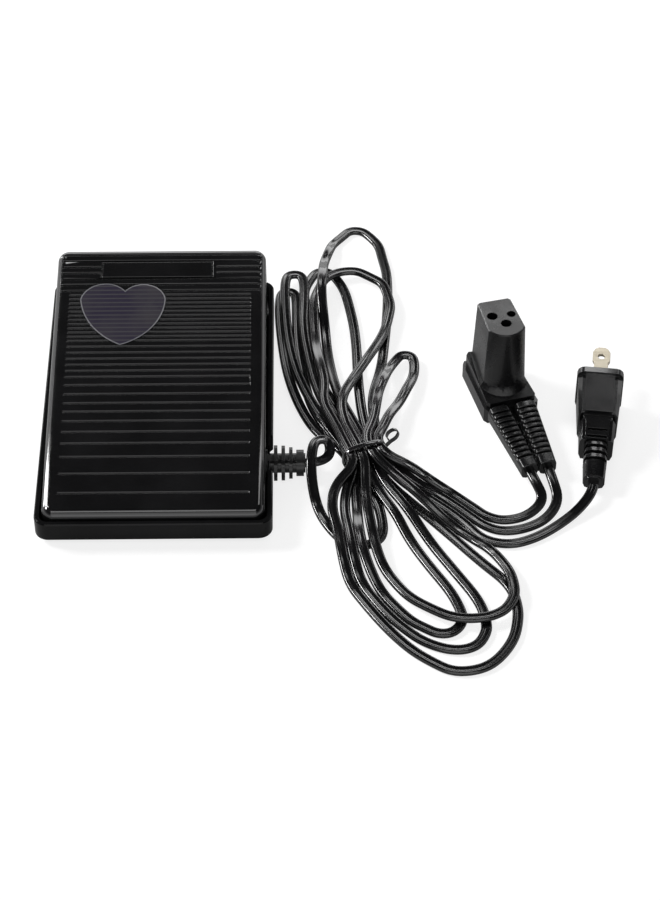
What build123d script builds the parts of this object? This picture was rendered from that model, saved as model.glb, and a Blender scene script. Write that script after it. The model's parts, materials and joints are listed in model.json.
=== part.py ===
from build123d import *
import math
import os

import numpy as np

# Sewing machine foot pedal with its two leads gathered in one hank, a three-hole machine
# connector and a flat-blade mains plug. Millimetres, +Z up. The origin is the centre of the
# base's footprint on the floor, +Y points to the toe (the high end), +X to the cord side.

# ---- driving dimensions -------------------------------------------------------------------
BASE_W, BASE_L, BASE_R = 101.0, 155.0, 6.0      # tray, outside
BASE_Z, FLOOR_TOP, RIM_TOP = 1.5, 3.7, 12.5     # underside, inner floor, rim
TRAY_WALL = 2.2
FOOT_R, FOOT_X, FOOT_Y = 5.6, 38.5, 65.0        # rubber feet
COVER_W, COVER_L, COVER_R = 95.4, 149.2, 5.6    # treadle skirt, outside
COVER_WALL, COVER_TOP = 2.3, 2.4
TOP_Z0, TOP_SLOPE = 26.0, 0.13755               # top plane: height at y = 0 and rise per mm
SKIRT_HEEL_Z, SKIRT_TOE_Z = 4.9, 12.2           # lower edge of the skirt at rest
HINGE_Y, HINGE_Z, HINGE_R = -66.0, 9.0, 2.0     # hinge rod
LEVER_Y, LEVER_Z, LEVER_PIN_R = 46.0, 10.0, 1.5  # control lever pivot
TRACK_X = 16.75                                 # mid-plane of the resistance plate
SPRING_X, SPRING_Y = -22.0, 44.0
SPRING_R, SPRING_WIRE = 7.0, 0.8
RELIEF_Y, RELIEF_Z, RELIEF_END = -35.2, 6.0, 64.6  # cord entry in the right wall, end of its sleeve
CORD_D = 3.5
CORD_SIDES = 6
CORD_FLOOR = 1.9                                # centre height of a cord that lies on the floor
TIE_X, TIE_Y, TIE_HEADING = 90.5, -29.0, 110.0  # waist of the hank
LANE, LAYER, LAYER_Z0 = 4.6, 4.25, 3.1          # cord pitch in the tie, across and up

TOP_ANGLE = math.degrees(math.atan(TOP_SLOPE))
TOP = Plane(origin=(0, 0, TOP_Z0), x_dir=(1, 0, 0), z_dir=(0, -TOP_SLOPE, 1))
SKIRT_SLOPE = (SKIRT_TOE_Z - SKIRT_HEEL_Z) / COVER_L
SKIRT = Plane(origin=(0, 0, (SKIRT_TOE_Z + SKIRT_HEEL_Z) / 2), x_dir=(1, 0, 0), z_dir=(0, -SKIRT_SLOPE, 1))
CONNECTOR_X, CONNECTOR_Y, CONNECTOR_HEADING = 151.0, 15.0, -75.0
CONNECTOR_H, CONNECTOR_BLOCK = 45.0, 14.0       # upright part and the block it stands on
BLOCK_FRONT, BLOCK_FALL = 18.6, 0.094           # front face of the block, and the fall of its top
BOOT_START, BOOT_LENGTH, BOOT_Z = 19.0, 38.2, 6.0
BOOT_LANE, BOOT_LEAN = 6.2, 3.1                 # half the boots' spacing, and the degrees they lean inwards
PLUG_X, PLUG_Y, PLUG_HEADING = 195.5, 6.0, 83.0  # centre of the plug's face
PLUG_Z, BLADE_GAP = 11.55, 12.7                 # mid-height of the plug, and the blades' spacing
PLUG_TAIL, PLUG_TAIL_Z = 55.0, 6.0              # end of its strain relief
UP = (Align.CENTER, Align.CENTER, Align.MIN)
DOWN = (Align.CENTER, Align.CENTER, Align.MAX)


def under_cover(y):
    """Height of the cover's inner face at y."""
    return TOP_Z0 + TOP_SLOPE * y - COVER_TOP * math.hypot(1, TOP_SLOPE)


def heading(degrees):
    """Flat unit vector, counted from +X towards +Y."""
    return Vector(math.cos(math.radians(degrees)), math.sin(math.radians(degrees)), 0)


def soft_rectangle(width, height, radius, steps=2, mode=Mode.ADD):
    """A rectangle whose corners are short straight facets instead of arcs."""
    points = []
    for corner, (sx, sy) in enumerate(((1, 1), (-1, 1), (-1, -1), (1, -1))):
        for i in range(steps + 1):
            turn = math.radians(90 * corner + 90 * i / steps)
            points.append((sx * (width / 2 - radius) + radius * math.cos(turn),
                           sy * (height / 2 - radius) + radius * math.sin(turn)))
    Polygon(*points, align=None, mode=mode)


CONNECTOR = Plane(origin=(CONNECTOR_X, CONNECTOR_Y, 0), x_dir=heading(CONNECTOR_HEADING), z_dir=(0, 0, 1))
PLUG = Plane(origin=(PLUG_X, PLUG_Y, 0), x_dir=heading(PLUG_HEADING), z_dir=(0, 0, 1))

os.makedirs("parts", exist_ok=True)


def keep(builder, label):
    builder.part.label = label
    export_step(builder.part, f"parts/{label}.step")


# ---- base tray ----------------------------------------------------------------------------
board_posts = [(-37.5, -31.0), (13.5, -31.0), (-37.5, 5.0), (13.5, 5.0)]
clamp_posts = [(40.0, RELIEF_Y - 8.5), (40.0, RELIEF_Y + 8.5)]
bracket_x = 28.0
bracket_posts = [(-bracket_x, 56.0), (bracket_x, 56.0)]
BOARD_Z, CLAMP_Z = 8.0, 7.9

with BuildPart() as base_tray:
    with BuildSketch(Plane.XY.offset(BASE_Z)):
        RectangleRounded(BASE_W, BASE_L, BASE_R)
    extrude(amount=RIM_TOP - BASE_Z)
    chamfer(base_tray.faces().sort_by(Axis.Z)[0].edges(), 2.0)
    with BuildSketch(Plane.XY.offset(FLOOR_TOP)):
        RectangleRounded(BASE_W - 2 * TRAY_WALL, BASE_L - 2 * TRAY_WALL, BASE_R - TRAY_WALL)
    extrude(amount=RIM_TOP - FLOOR_TOP, mode=Mode.SUBTRACT)
    chamfer(base_tray.faces().sort_by(Axis.Z)[-1].outer_wire().edges(), 0.5)
    # recesses under the four feet
    with Locations(Plane.XY.offset(BASE_Z)):
        with GridLocations(2 * FOOT_X, 2 * FOOT_Y, 2, 2):
            Cylinder(FOOT_R + 0.2, 0.7, align=UP, mode=Mode.SUBTRACT)
    # cord entry: a wide recess outside, a narrow slot inside, a pocket in the floor
    with Locations((BASE_W / 2 - 1.4, RELIEF_Y, 0)):
        Box(3, 21.6, RIM_TOP + 1, align=(Align.MIN, Align.CENTER, Align.MIN), mode=Mode.SUBTRACT)
    with Locations((34, RELIEF_Y, 2.7)):
        Box(17, 10.1, 12, align=(Align.MIN, Align.CENTER, Align.MIN), mode=Mode.SUBTRACT)
    with Locations((46.2, RELIEF_Y, 2.7)):
        Box(2.0, 15.2, 12, align=(Align.MIN, Align.CENTER, Align.MIN), mode=Mode.SUBTRACT)
    # hinge lugs at the heel
    for side in (-1, 1):
        with BuildSketch(Plane.YZ.offset(side * 38.5)):
            with Locations((HINGE_Y, HINGE_Z)):
                Circle(4.2)
            with Locations((HINGE_Y, (HINGE_Z + FLOOR_TOP - 0.4) / 2)):
                Rectangle(8.4, HINGE_Z - FLOOR_TOP + 0.4)
            with Locations((HINGE_Y, HINGE_Z)):
                Circle(HINGE_R + 0.02, mode=Mode.SUBTRACT)
        extrude(amount=2.5, both=True)
    # posts for the circuit board, the cord clamp and the lever
    for seats, top, depth in ((board_posts, BOARD_Z, 3.0), (clamp_posts, CLAMP_Z, 2.4), (bracket_posts, 5.4, 3.1)):
        with BuildSketch(Plane.XY.offset(FLOOR_TOP - 0.3)):
            with Locations(*seats):
                RegularPolygon(3.1, 10)
        extrude(amount=top - FLOOR_TOP + 0.3)
        with BuildSketch(Plane.XY.offset(top)):
            with Locations(*seats):
                RegularPolygon(1.3, 6)
        extrude(amount=-depth, mode=Mode.SUBTRACT)
    for x in (7.0, 19.2):
        with BuildSketch(Plane.YZ.offset(x)):
            with Locations((LEVER_Y, LEVER_Z)):
                Circle(3.4)
            with Locations((LEVER_Y, (LEVER_Z + FLOOR_TOP - 0.4) / 2)):
                Rectangle(6.8, LEVER_Z - FLOOR_TOP + 0.4)
            with Locations((LEVER_Y, LEVER_Z)):
                Circle(LEVER_PIN_R + 0.02, mode=Mode.SUBTRACT)
        extrude(amount=1.3, both=True)
    # seat of the return spring
    with BuildSketch(Plane.XY.offset(FLOOR_TOP - 0.3)):
        with Locations((SPRING_X, SPRING_Y)):
            RegularPolygon(5.6, 12)
    extrude(amount=3.3)
    # guides of the resistance plate
    with Locations((TRACK_X, 31.6, FLOOR_TOP - 0.3), (TRACK_X, 64.4, FLOOR_TOP - 0.3)):
        Box(4.4, 3.0, 6.0, align=UP)
        Box(1.7, 3.2, 6.1, align=UP, mode=Mode.SUBTRACT)
    # ribs under the terminal block
    with Locations((25.5, RELIEF_Y, FLOOR_TOP - 0.3)):
        Box(9.0, 2.0, 1.3, align=UP)
keep(base_tray, "base_tray")

with BuildPart() as rubber_feet:
    for low, high, radius in ((0, 0.5, FOOT_R - 0.5), (0.5, BASE_Z + 0.7, FOOT_R)):
        with BuildSketch(Plane.XY.offset(low)):
            with GridLocations(2 * FOOT_X, 2 * FOOT_Y, 2, 2):
                RegularPolygon(radius, 24)
        extrude(amount=high - low, taper=-44 if low == 0 else 0)
keep(rubber_feet, "rubber_feet")

# ---- treadle cover ------------------------------------------------------------------------
with BuildPart() as cavity:
    with BuildSketch(Plane.XY):
        RectangleRounded(COVER_W - 2 * COVER_WALL, COVER_L - 2 * COVER_WALL, COVER_R - COVER_WALL)
    extrude(amount=44, taper=0.8)
    split(bisect_by=TOP.offset(-COVER_TOP), keep=Keep.BOTTOM)

coarse = [69.4 - 3.5 * i for i in range(7)]
fine = [45.9 - 2.4 * i for i in range(12)]
middle = [16.2 - 3.4 * i for i in range(6)]
heel = [-5.3, -10.3, -15.3, -19.9, -25.1, -30.9, -37.1, -44.3, -53.2, -63.3]
PLATE_X, PLATE_Y, PLATE_W, PLATE_H = -1.8, 60.65, 49.4, 8.6
slant = math.hypot(1, TOP_SLOPE)

with BuildPart() as treadle_cover:
    with BuildSketch(Plane.XY):
        RectangleRounded(COVER_W, COVER_L, COVER_R)
    extrude(amount=48, taper=0.8)
    split(bisect_by=TOP, keep=Keep.BOTTOM)
    fillet(treadle_cover.faces().sort_by(Axis.Z)[-1].edges(), 3.9)
    split(bisect_by=SKIRT, keep=Keep.TOP)
    add(cavity.part, mode=Mode.SUBTRACT)
    # tread grooves, stopped short of the side rolls; the coarse ones run past them
    with BuildSketch(TOP.offset(0.2)) as grooves:
        with Locations(*[(0, y * slant) for y in coarse if abs(y - PLATE_Y) > PLATE_H / 2]):
            Rectangle(COVER_W + 4, 0.8)
        with Locations(*[(0, y * slant) for y in fine + middle + heel]):
            Rectangle(81.2, 0.8)
        for y in [y for y in coarse if abs(y - PLATE_Y) <= PLATE_H / 2]:
            with Locations((-37.5, y * slant), (35.7, y * slant)):
                Rectangle(21.0, 0.8)
        # frame of the name plate, left plain
        with Locations((PLATE_X, PLATE_Y * slant)):
            Rectangle(PLATE_W + 1.0, PLATE_H + 1.0)
            Rectangle(PLATE_W, PLATE_H, mode=Mode.SUBTRACT)
    extrude(amount=-0.65, mode=Mode.SUBTRACT)
    # cord notch in the right skirt
    with Locations((43, RELIEF_Y, 0)):
        Box(8, 22.4, 14.3, align=(Align.MIN, Align.CENTER, Align.MIN), mode=Mode.SUBTRACT)
    # hinge lugs
    for side in (-1, 1):
        with BuildSketch(Plane.YZ.offset(side * 32.5)):
            with Locations((HINGE_Y, HINGE_Z)):
                Circle(4.2)
            with BuildLine():
                Polyline((HINGE_Y - 4.2, HINGE_Z), (HINGE_Y + 4.2, HINGE_Z), (HINGE_Y + 8, under_cover(HINGE_Y + 8) + 0.6),
                         (HINGE_Y - 4.2, under_cover(HINGE_Y - 4.2) + 0.6), close=True)
            make_face()
            with Locations((HINGE_Y, HINGE_Z)):
                Circle(HINGE_R + 0.07, mode=Mode.SUBTRACT)
        extrude(amount=2.2, both=True)
    # catches that hold the raised treadle under the two stop brackets
    for side in (-1, 1):
        with BuildSketch(Plane.YZ.offset(side * bracket_x)):
            with BuildLine():
                Polyline((65.2, 14.2), (71.2, 14.2), (71.2, under_cover(71.2) + 0.6), (68.8, under_cover(68.8) + 0.6),
                         (68.8, 17.7), (65.2, 17.7), close=True)
            make_face()
        extrude(amount=4.5, both=True)
    # spring cup: a flat disc with a centring pin
    with BuildSketch(Plane.XY.offset(26.6)):
        with Locations((SPRING_X, SPRING_Y)):
            RegularPolygon(9.4, 16)
    extrude(amount=under_cover(SPRING_Y) - 26.6 + 0.4)
    with BuildSketch(Plane.XY.offset(23)):
        with Locations((SPRING_X, SPRING_Y)):
            RegularPolygon(5.4, 12)
    extrude(amount=4.0)
    # long stiffening ribs
    for x in (-36.0, 36.0):
        with BuildSketch(Plane.YZ.offset(x)):
            with BuildLine():
                Polyline((-12, under_cover(-12) - 2.4), (60, under_cover(60) - 2.4), (66, under_cover(66) + 0.5),
                         (-18, under_cover(-18) + 0.5), close=True)
            make_face()
        extrude(amount=0.8, both=True)
keep(treadle_cover, "treadle_cover")

with BuildPart() as heart_label:
    with BuildSketch(TOP.offset(0.02)):
        with BuildLine():
            ThreePointArc((-15.9, 48.4), (-26.5, 52.6), (-35.9, 43.6))
            ThreePointArc((-35.9, 43.6), (-31.2, 29.5), (-17.2, 17.0))
            ThreePointArc((-17.2, 17.0), (-1.8, 29.0), (2.4, 43.4))
            ThreePointArc((2.4, 43.4), (-6.5, 52.2), (-15.9, 48.4))
        make_face()
    extrude(amount=0.25)
keep(heart_label, "heart_label")

# ---- hinge rod, stops, spring -------------------------------------------------------------
with BuildPart() as hinge_rod:
    with Locations(Plane.YZ.offset(-41.4)):
        with Locations((HINGE_Y, HINGE_Z)):
            Cylinder(HINGE_R, 82.8, align=UP)
    chamfer(hinge_rod.edges(), 0.4)
keep(hinge_rod, "hinge_rod")

with BuildPart() as stop_brackets:
    for side in (-1, 1):
        with BuildSketch(Plane.YZ.offset(side * bracket_x)):
            with BuildLine():
                Polyline((52.6, 5.4), (64.0, 5.4), (64.0, 18.0), (68.2, 18.0), (68.2, 19.3), (62.7, 19.3),
                         (62.7, 6.7), (52.6, 6.7), close=True)
            make_face()
        extrude(amount=4.6, both=True)
        with Locations((side * bracket_x, 56, 5)):
            Cylinder(1.45, 3, align=UP, mode=Mode.SUBTRACT)
keep(stop_brackets, "stop_brackets")


def biarc(p0, t0, p1, t1):
    """Two arcs that join p0 to p1 and are tangent to t0 and t1: the joint and its tangent."""
    v, t, c = p1 - p0, t0 + t1, 2 * (1 - t0.dot(t1))
    if c < 1e-9:
        d = v.dot(v) / (4 * v.dot(t1))
    else:
        d = (math.sqrt(v.dot(t) ** 2 + c * v.dot(v)) - v.dot(t)) / c
    q0, q1 = p0 + t0 * d, p1 - t1 * d
    return (q0 + q1) * 0.5, (q1 - q0).normalized(), min(d, (q1 - q0).length / 2)


def bend(start, tangent, end):
    """A tangent arc, or a straight run where the end lies dead ahead."""
    chord = end - start
    if tangent.get_angle(chord) < 0.05:
        Line(start, end)
    else:
        TangentArc(start, end, tangent=tangent)


turns, steps = 4, 10
spring_low, spring_high = FLOOR_TOP + 0.9, 26.5 - SPRING_WIRE
with BuildPart() as return_spring:
    rise = (spring_high - spring_low) / (turns * steps)
    points = [Vector(SPRING_X, SPRING_Y, spring_low + rise * i) + heading(360 * i / steps) * SPRING_R
              for i in range(turns * steps + 1)]
    with BuildLine() as spring_line:
        Polyline(*points)
    with BuildSketch(Plane(origin=points[0], z_dir=points[1] - points[0])):
        RegularPolygon(SPRING_WIRE, 4)
    sweep(path=spring_line.wire(), transition=Transition.RIGHT)
keep(return_spring, "return_spring")

# ---- control lever and its track ----------------------------------------------------------
NOSE_Y, NOSE_R = 22.0, 3.0
nose_z = under_cover(NOSE_Y) - NOSE_R * slant - 0.5
with BuildPart() as control_lever:
    with BuildSketch(Plane.YZ.offset(13.1)):
        with Locations((LEVER_Y, LEVER_Z)):
            Circle(4.6)
        with Locations((NOSE_Y, nose_z)):
            Circle(NOSE_R)
        with BuildLine():
            Polyline((LEVER_Y - 2.4, LEVER_Z - 3.6), (LEVER_Y + 2.2, LEVER_Z + 4.0), (NOSE_Y + 1.6, nose_z + 2.3),
                     (NOSE_Y - 1.6, nose_z - 2.4), close=True)
        make_face()
        with BuildLine():
            Polyline((LEVER_Y + 2.6, LEVER_Z - 3.4), (LEVER_Y + 15.0, LEVER_Z - 2.6), (LEVER_Y + 15.0, LEVER_Z + 1.6),
                     (LEVER_Y + 1.6, LEVER_Z + 4.0), close=True)
        make_face()
        with Locations((LEVER_Y, LEVER_Z)):
            Circle(LEVER_PIN_R + 0.06, mode=Mode.SUBTRACT)
    extrude(amount=2.0, both=True)
    with BuildSketch(Plane.YZ.offset(13.1)):
        with Locations((LEVER_Y, LEVER_Z)):
            Circle(2.9)
            Circle(LEVER_PIN_R + 0.06, mode=Mode.SUBTRACT)
    extrude(amount=4.4, both=True)
    with Locations(Location((0, NOSE_Y + 7, nose_z - 3.9), (0, 0, 0))):
        with Locations((13.1, 0, 0)):
            Box(5, 2.2, 2.2, mode=Mode.SUBTRACT)
keep(control_lever, "control_lever")

with BuildPart() as lever_pin:
    with Locations(Plane.YZ.offset(5.2)):
        with Locations((LEVER_Y, LEVER_Z)):
            Cylinder(LEVER_PIN_R, 15.8, align=UP)
keep(lever_pin, "lever_pin")

with BuildPart() as wiper_contact:
    with BuildSketch(Plane.XY.offset(LEVER_Z - 1.8)):
        with BuildLine():
            Polyline((15.12, LEVER_Y + 5.0), (15.12, LEVER_Y + 14.0), (15.32, LEVER_Y + 14.6), (15.32, LEVER_Y + 15.8),
                     (15.55, LEVER_Y + 15.8), (15.55, LEVER_Y + 14.4), (15.37, LEVER_Y + 13.8), (15.37, LEVER_Y + 5.0),
                     close=True)
        make_face()
    extrude(amount=2.6)
keep(wiper_contact, "wiper_contact")

with BuildPart() as resistance_plate:
    with BuildSketch(Plane.YZ.offset(TRACK_X)):
        with Locations((48.0, 12.6)):
            RectangleRounded(35.0, 16.6, 0.8)
        with Locations((LEVER_Y, LEVER_Z)):
            Circle(4.4, mode=Mode.SUBTRACT)
            Rectangle(8.8, 20, align=(Align.CENTER, Align.MAX), mode=Mode.SUBTRACT)
    extrude(amount=0.75, both=True)
keep(resistance_plate, "resistance_plate")

# ---- circuit board and what it carries ----------------------------------------------------
board_top = BOARD_Z + 1.6
with BuildPart() as circuit_board:
    with BuildSketch(Plane.XY.offset(BOARD_Z)):
        with Locations((-12, -13)):
            Rectangle(57, 42)
        with Locations(*board_posts):
            RegularPolygon(1.7, 8, mode=Mode.SUBTRACT)
    extrude(amount=1.6)
keep(circuit_board, "circuit_board")

screw_seats = [(x, y, board_top) for x, y in board_posts]
screw_seats += [(x, y, CLAMP_Z + 2.4) for x, y in clamp_posts]
screw_seats += [(side * bracket_x, 56, 6.7) for side in (-1, 1)]
with BuildPart() as pan_screws:
    for x, y, z in screw_seats:
        with BuildSketch(Plane((x, y, z))):
            RegularPolygon(2.5, 12)
        extrude(amount=1.5, taper=18)
        with BuildSketch(Plane((x, y, z))):
            RegularPolygon(1.1, 6)
        extrude(amount=-2.9)
keep(pan_screws, "pan_screws")

with BuildPart() as heat_sink:
    with BuildSketch(Plane.XZ.offset(6.0)):
        with Locations((-24, board_top)):
            Rectangle(18, 7.6, align=(Align.CENTER, Align.MIN))
        with Locations(*[(-24 + 4.4 * i, board_top + 1.6) for i in (-1.5, -0.5, 0.5, 1.5)]):
            Rectangle(2.6, 7.0, align=(Align.CENTER, Align.MIN), mode=Mode.SUBTRACT)
    extrude(amount=13.0)
keep(heat_sink, "heat_sink")

with BuildPart() as triac:
    with Locations((-24, -3.6, board_top + 1.2)):
        Box(10.0, 4.4, 5.0, align=UP)
    with Locations((-24, -5.2, board_top + 6.2)):
        Box(10.0, 1.2, 1.2, align=UP)
    with Locations(*[(-24 + 2.5 * i, -3.6, board_top) for i in (-1, 0, 1)]):
        Box(0.8, 0.5, 2.0, align=UP)
keep(triac, "triac")

with BuildPart() as film_capacitor:
    with Locations((3.5, -19, board_top)):
        Box(8.0, 18.0, 7.6, align=UP)
    chamfer(film_capacitor.edges().filter_by(Axis.Z), 0.8)
keep(film_capacitor, "film_capacitor")

with BuildPart() as suppression_choke:
    for low, high, radius in ((0, 1.0, 6.0), (1.0, 5.8, 4.6), (5.8, 6.8, 6.0)):
        with BuildSketch(Plane.XY.offset(board_top + low)):
            with Locations((-10, -24)):
                RegularPolygon(radius, 14)
        extrude(amount=high - low)
keep(suppression_choke, "suppression_choke")

resistor_y = (-26.0, -6.0)
with BuildPart() as resistors:
    for x, y in ((-30.0, -28.0), (-30.0, -23.0), (4.0, -2.0)):
        with BuildSketch(Plane.YZ.offset(x - 4.0)):
            with Locations((y, board_top + 1.6)):
                RegularPolygon(1.5, 10)
        extrude(amount=8.0)
        with BuildSketch(Plane.YZ.offset(x - 6.0)):
            with Locations((y, board_top + 1.6)):
                Rectangle(0.7, 0.7)
        extrude(amount=12.0)
        with Locations((x - 5.65, y, board_top), (x + 5.65, y, board_top)):
            Box(0.7, 0.7, 1.9, align=UP)
keep(resistors, "resistors")

with BuildPart() as terminal_block:
    with Locations((25.5, RELIEF_Y, 4.75)):
        Box(9.0, 22.0, 8.6, align=UP)
    with BuildSketch(Plane.XY.offset(13.35)):
        with Locations(*[(25.5, RELIEF_Y + 7 * i) for i in (-1, 0, 1)]):
            RegularPolygon(2.0, 10)
    extrude(amount=-4.0, mode=Mode.SUBTRACT)
    with Locations(*[(30.0, RELIEF_Y + 7 * i, 7.4) for i in (-1, 0, 1)]):
        Box(3.0, 4.8, 3.4, align=(Align.MAX, Align.CENTER, Align.CENTER), mode=Mode.SUBTRACT)
    chamfer(terminal_block.edges().filter_by(Axis.Y).group_by(Axis.Z)[-1], 0.8)
keep(terminal_block, "terminal_block")

with BuildPart() as terminal_screws:
    with BuildSketch(Plane.XY.offset(9.45)):
        with Locations(*[(25.5, RELIEF_Y + 7 * i) for i in (-1, 0, 1)]):
            RegularPolygon(1.75, 10)
            Rectangle(0.5, 4, mode=Mode.SUBTRACT)
    extrude(amount=2.4)
    with BuildSketch(Plane.XY.offset(9.4)):
        with Locations(*[(25.5, RELIEF_Y + 7 * i) for i in (-1, 0, 1)]):
            RegularPolygon(1.75, 10)
    extrude(amount=1.4)
keep(terminal_screws, "terminal_screws")

with BuildPart() as cord_clamp:
    with BuildSketch(Plane.YZ.offset(37.6)):
        with Locations((RELIEF_Y, CLAMP_Z + 1.2)):
            Rectangle(24.0, 2.4)
    extrude(amount=4.8)
    with BuildSketch(Plane.XY.offset(CLAMP_Z)):
        with Locations(*clamp_posts):
            RegularPolygon(1.5, 8)
    extrude(amount=2.4, mode=Mode.SUBTRACT)
    chamfer(cord_clamp.edges().filter_by(Axis.Z).group_by(Axis.Y)[0], 1.0)
    chamfer(cord_clamp.edges().filter_by(Axis.Z).group_by(Axis.Y)[-1], 1.0)
keep(cord_clamp, "cord_clamp")

# ---- strain relief in the tray wall and the lead inside -----------------------------------
with BuildPart() as strain_relief:
    with BuildSketch(Plane.YZ.offset(46.4)):
        with Locations((RELIEF_Y, RELIEF_Z)):
            soft_rectangle(9.4, 6.4, 3.0, 3)
    extrude(amount=RELIEF_END - 46.4)
    for x, width, height, thick in ((46.45, 14.0, 6.4, 1.6), (50.9, 17.0, 10.5, 1.5), (54.2, 16.6, 10.4, 1.5),
                                    (57.5, 14.8, 9.8, 1.5), (60.6, 12.2, 8.8, 3.3)):
        with BuildSketch(Plane.YZ.offset(x)):
            with Locations((RELIEF_Y, RELIEF_Z)):
                soft_rectangle(width, height, height * 0.46, 4)
        extrude(amount=thick)
keep(strain_relief, "strain_relief")

with BuildPart() as lead_tail:
    with BuildSketch(Plane.YZ.offset(34.6)):
        with Locations((RELIEF_Y, RELIEF_Z)):
            RegularPolygon(1.75, 12)
    extrude(amount=46.4 - 34.6)
keep(lead_tail, "lead_tail")

with BuildPart() as inner_wires:
    for i in (-1, 0, 1):
        start = Vector(34.3, RELIEF_Y + 0.95 * i, RELIEF_Z + (0.5 if i == 0 else -0.4))
        end = Vector(28.6, RELIEF_Y + 7.0 * i, 7.4)
        run = end - start
        with BuildSketch(Plane(origin=start, z_dir=run)):
            RegularPolygon(0.45, 6)
        extrude(amount=run.length)
keep(inner_wires, "inner_wires")


# ---- the two hanks ------------------------------------------------------------------------
def waist(layer, lane, away):
    """Place of a cord inside the tie; away is True where it runs towards the toe end."""
    across = heading(TIE_HEADING - 90)
    centre = Vector(TIE_X, TIE_Y, LAYER_Z0 + layer * LAYER) + across * ((lane - 1.5) * LANE)
    return (centre.X, centre.Y, centre.Z, TIE_HEADING if away else TIE_HEADING - 180)


LOW = CORD_FLOOR
BRIDGE = 6.0        # centre height where a cord lies over another
first_hank = [
    (97.0, -64.0, LOW, 95), (93.0, -49.3, LOW, 112), waist(0, 1, True),
    # upper loop on the floor
    (71.5, -5, 2.4, 115), (60.7, 78, LOW, 90), (53.2, 78, LOW, -90), (66.4, -5.5, 2.4, -66), waist(0, 0, False),
    # lower loop, inner
    (86.5, -56, 2.2, -88), (88, -80, BRIDGE, -80), (103, -115, LOW, -50), (119.5, -131.5, LOW, 0),
    (128.5, -119, LOW, 100), (112, -84, LOW, 117), (99.4, -56.2, 4.6, 118), waist(1, 1, True),
    # upper loop on top of the first
    (77, -5, 6.5, 117), (64.8, 45, BRIDGE, 97), (64.5, 84, 6.1, 90), (55.5, 84, 6.1, -90), (71.5, -5, 6.6, -65),
    waist(1, 0, False),
    # lower loop, middle
    (81.5, -56, 5.0, -94), (83.6, -80, BRIDGE, -84), (91.5, -108.5, LOW, -57), (127, -139.5, LOW, 0),
    (138.5, -124, LOW, 97), (122, -87, LOW, 120), (102.9, -51.9, 5.2, 122), waist(1, 2, True),
    # tall upper loop
    (84.5, -5, 6.5, 112), (74, 52, LOW, 94), (75, 91, 10.4, 77), (79, 112, 4, 68), (88.5, 126, LOW, 0),
    (99.5, 107, LOW, -74), (102, 72, LOW, -91), (99.8, 40, LOW, -96), (95, -5, 6.4, -86), waist(1, 3, False),
    (111.5, -41.5, 5.0, -47), (127.2, -55.5, LOW, -45),
]
second_hank = [
    (130.3, -52.4, LOW, 136), (114.3, -38.7, 8.8, 134), waist(2, 3, True),
    # short upper loop on the right
    (99.8, -12, 10.3, 68), (115, 28, 4, 70), (107, 31, 4, -112), (95.5, -5, 10.8, -98), waist(2, 2, False),
    # lower loop that lies over the others
    (107, -47, 8.2, -50), (133.2, -75.3, 2.6, -43), (151, -103, BRIDGE, -88), (143.5, -118.5, BRIDGE, -152),
    (128, -121.5, BRIDGE, 178), (99, -98.5, 4, 124), (93.5, -80, BRIDGE, 98), (90.7, -56, 8.4, 93),
    waist(2, 1, True),
    # upper loop that crosses from right to left
    (80.9, -4, 11, 93), (90, 22, 8.8, 62), (103.8, 60, BRIDGE, 84), (97, 86, BRIDGE, 142), (83, 92.5, BRIDGE, 190),
    (70.8, 81, BRIDGE, -112), (69.2, 50, 6.4, -88), (72.5, 20, 10.2, -80), (74.7, -5, 10.8, -68), waist(2, 0, False),
    # lower loop, outermost
    (76.3, -56, 8.6, -98), (79, -80, BRIDGE, -84), (86.8, -108.8, LOW, -60), (128, -149.5, LOW, 0),
    (151.5, -122, LOW, 86), (133, -83.5, LOW, 128), (105.8, -50.2, LOW, 130), waist(0, 2, True),
    # upper loop on the floor, right of the first
    (81.8, -5, 2.3, 112), (64.8, 68, LOW, 90), (73, 96.5, LOW, 0), (84.5, 76, LOW, -80), (90.5, -5, 2.4, -84),
    waist(0, 3, False),
    (108.6, -44.4, LOW, -47), (124.1, -58.6, LOW, -45),
]


# ---- free lengths of cord -----------------------------------------------------------------
def corner_radii(points):
    """Radius at each inner point: 0.45 of the shorter run over the tangent of half the turn."""
    radii = []
    for a, b, c in zip(points, points[1:], points[2:]):
        run_in, run_out = Vector(b) - Vector(a), Vector(c) - Vector(b)
        half = math.radians(run_in.get_angle(run_out)) / 2
        radii.append(0.45 * min(run_in.length, run_out.length) / math.tan(half))
    return radii


def hank_end(station, sign):
    """End face of a hank's straight run past its first (-1) or last (1) station."""
    return Vector(*station[:3]) + heading(station[3]) * (sign * CORD_D)


def led_out(start, aim, run):
    """The first two points of a lead that leaves a face square to it."""
    return [tuple(start), tuple(start + aim * run)]


def led_in(end, aim, run):
    """The last two points of a lead that meets a face square to it."""
    return [tuple(end - aim * run), tuple(end)]


def boot_plane(side, run):
    """Section plane of a boot at a distance from its start; side is -1 for the left one."""
    aim = CONNECTOR_HEADING - side * BOOT_LEAN
    start = CONNECTOR.from_local_coords((BOOT_START, side * BOOT_LANE, BOOT_Z))
    return Plane(origin=start + heading(aim) * run, x_dir=heading(aim + 90), z_dir=heading(aim))


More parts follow.
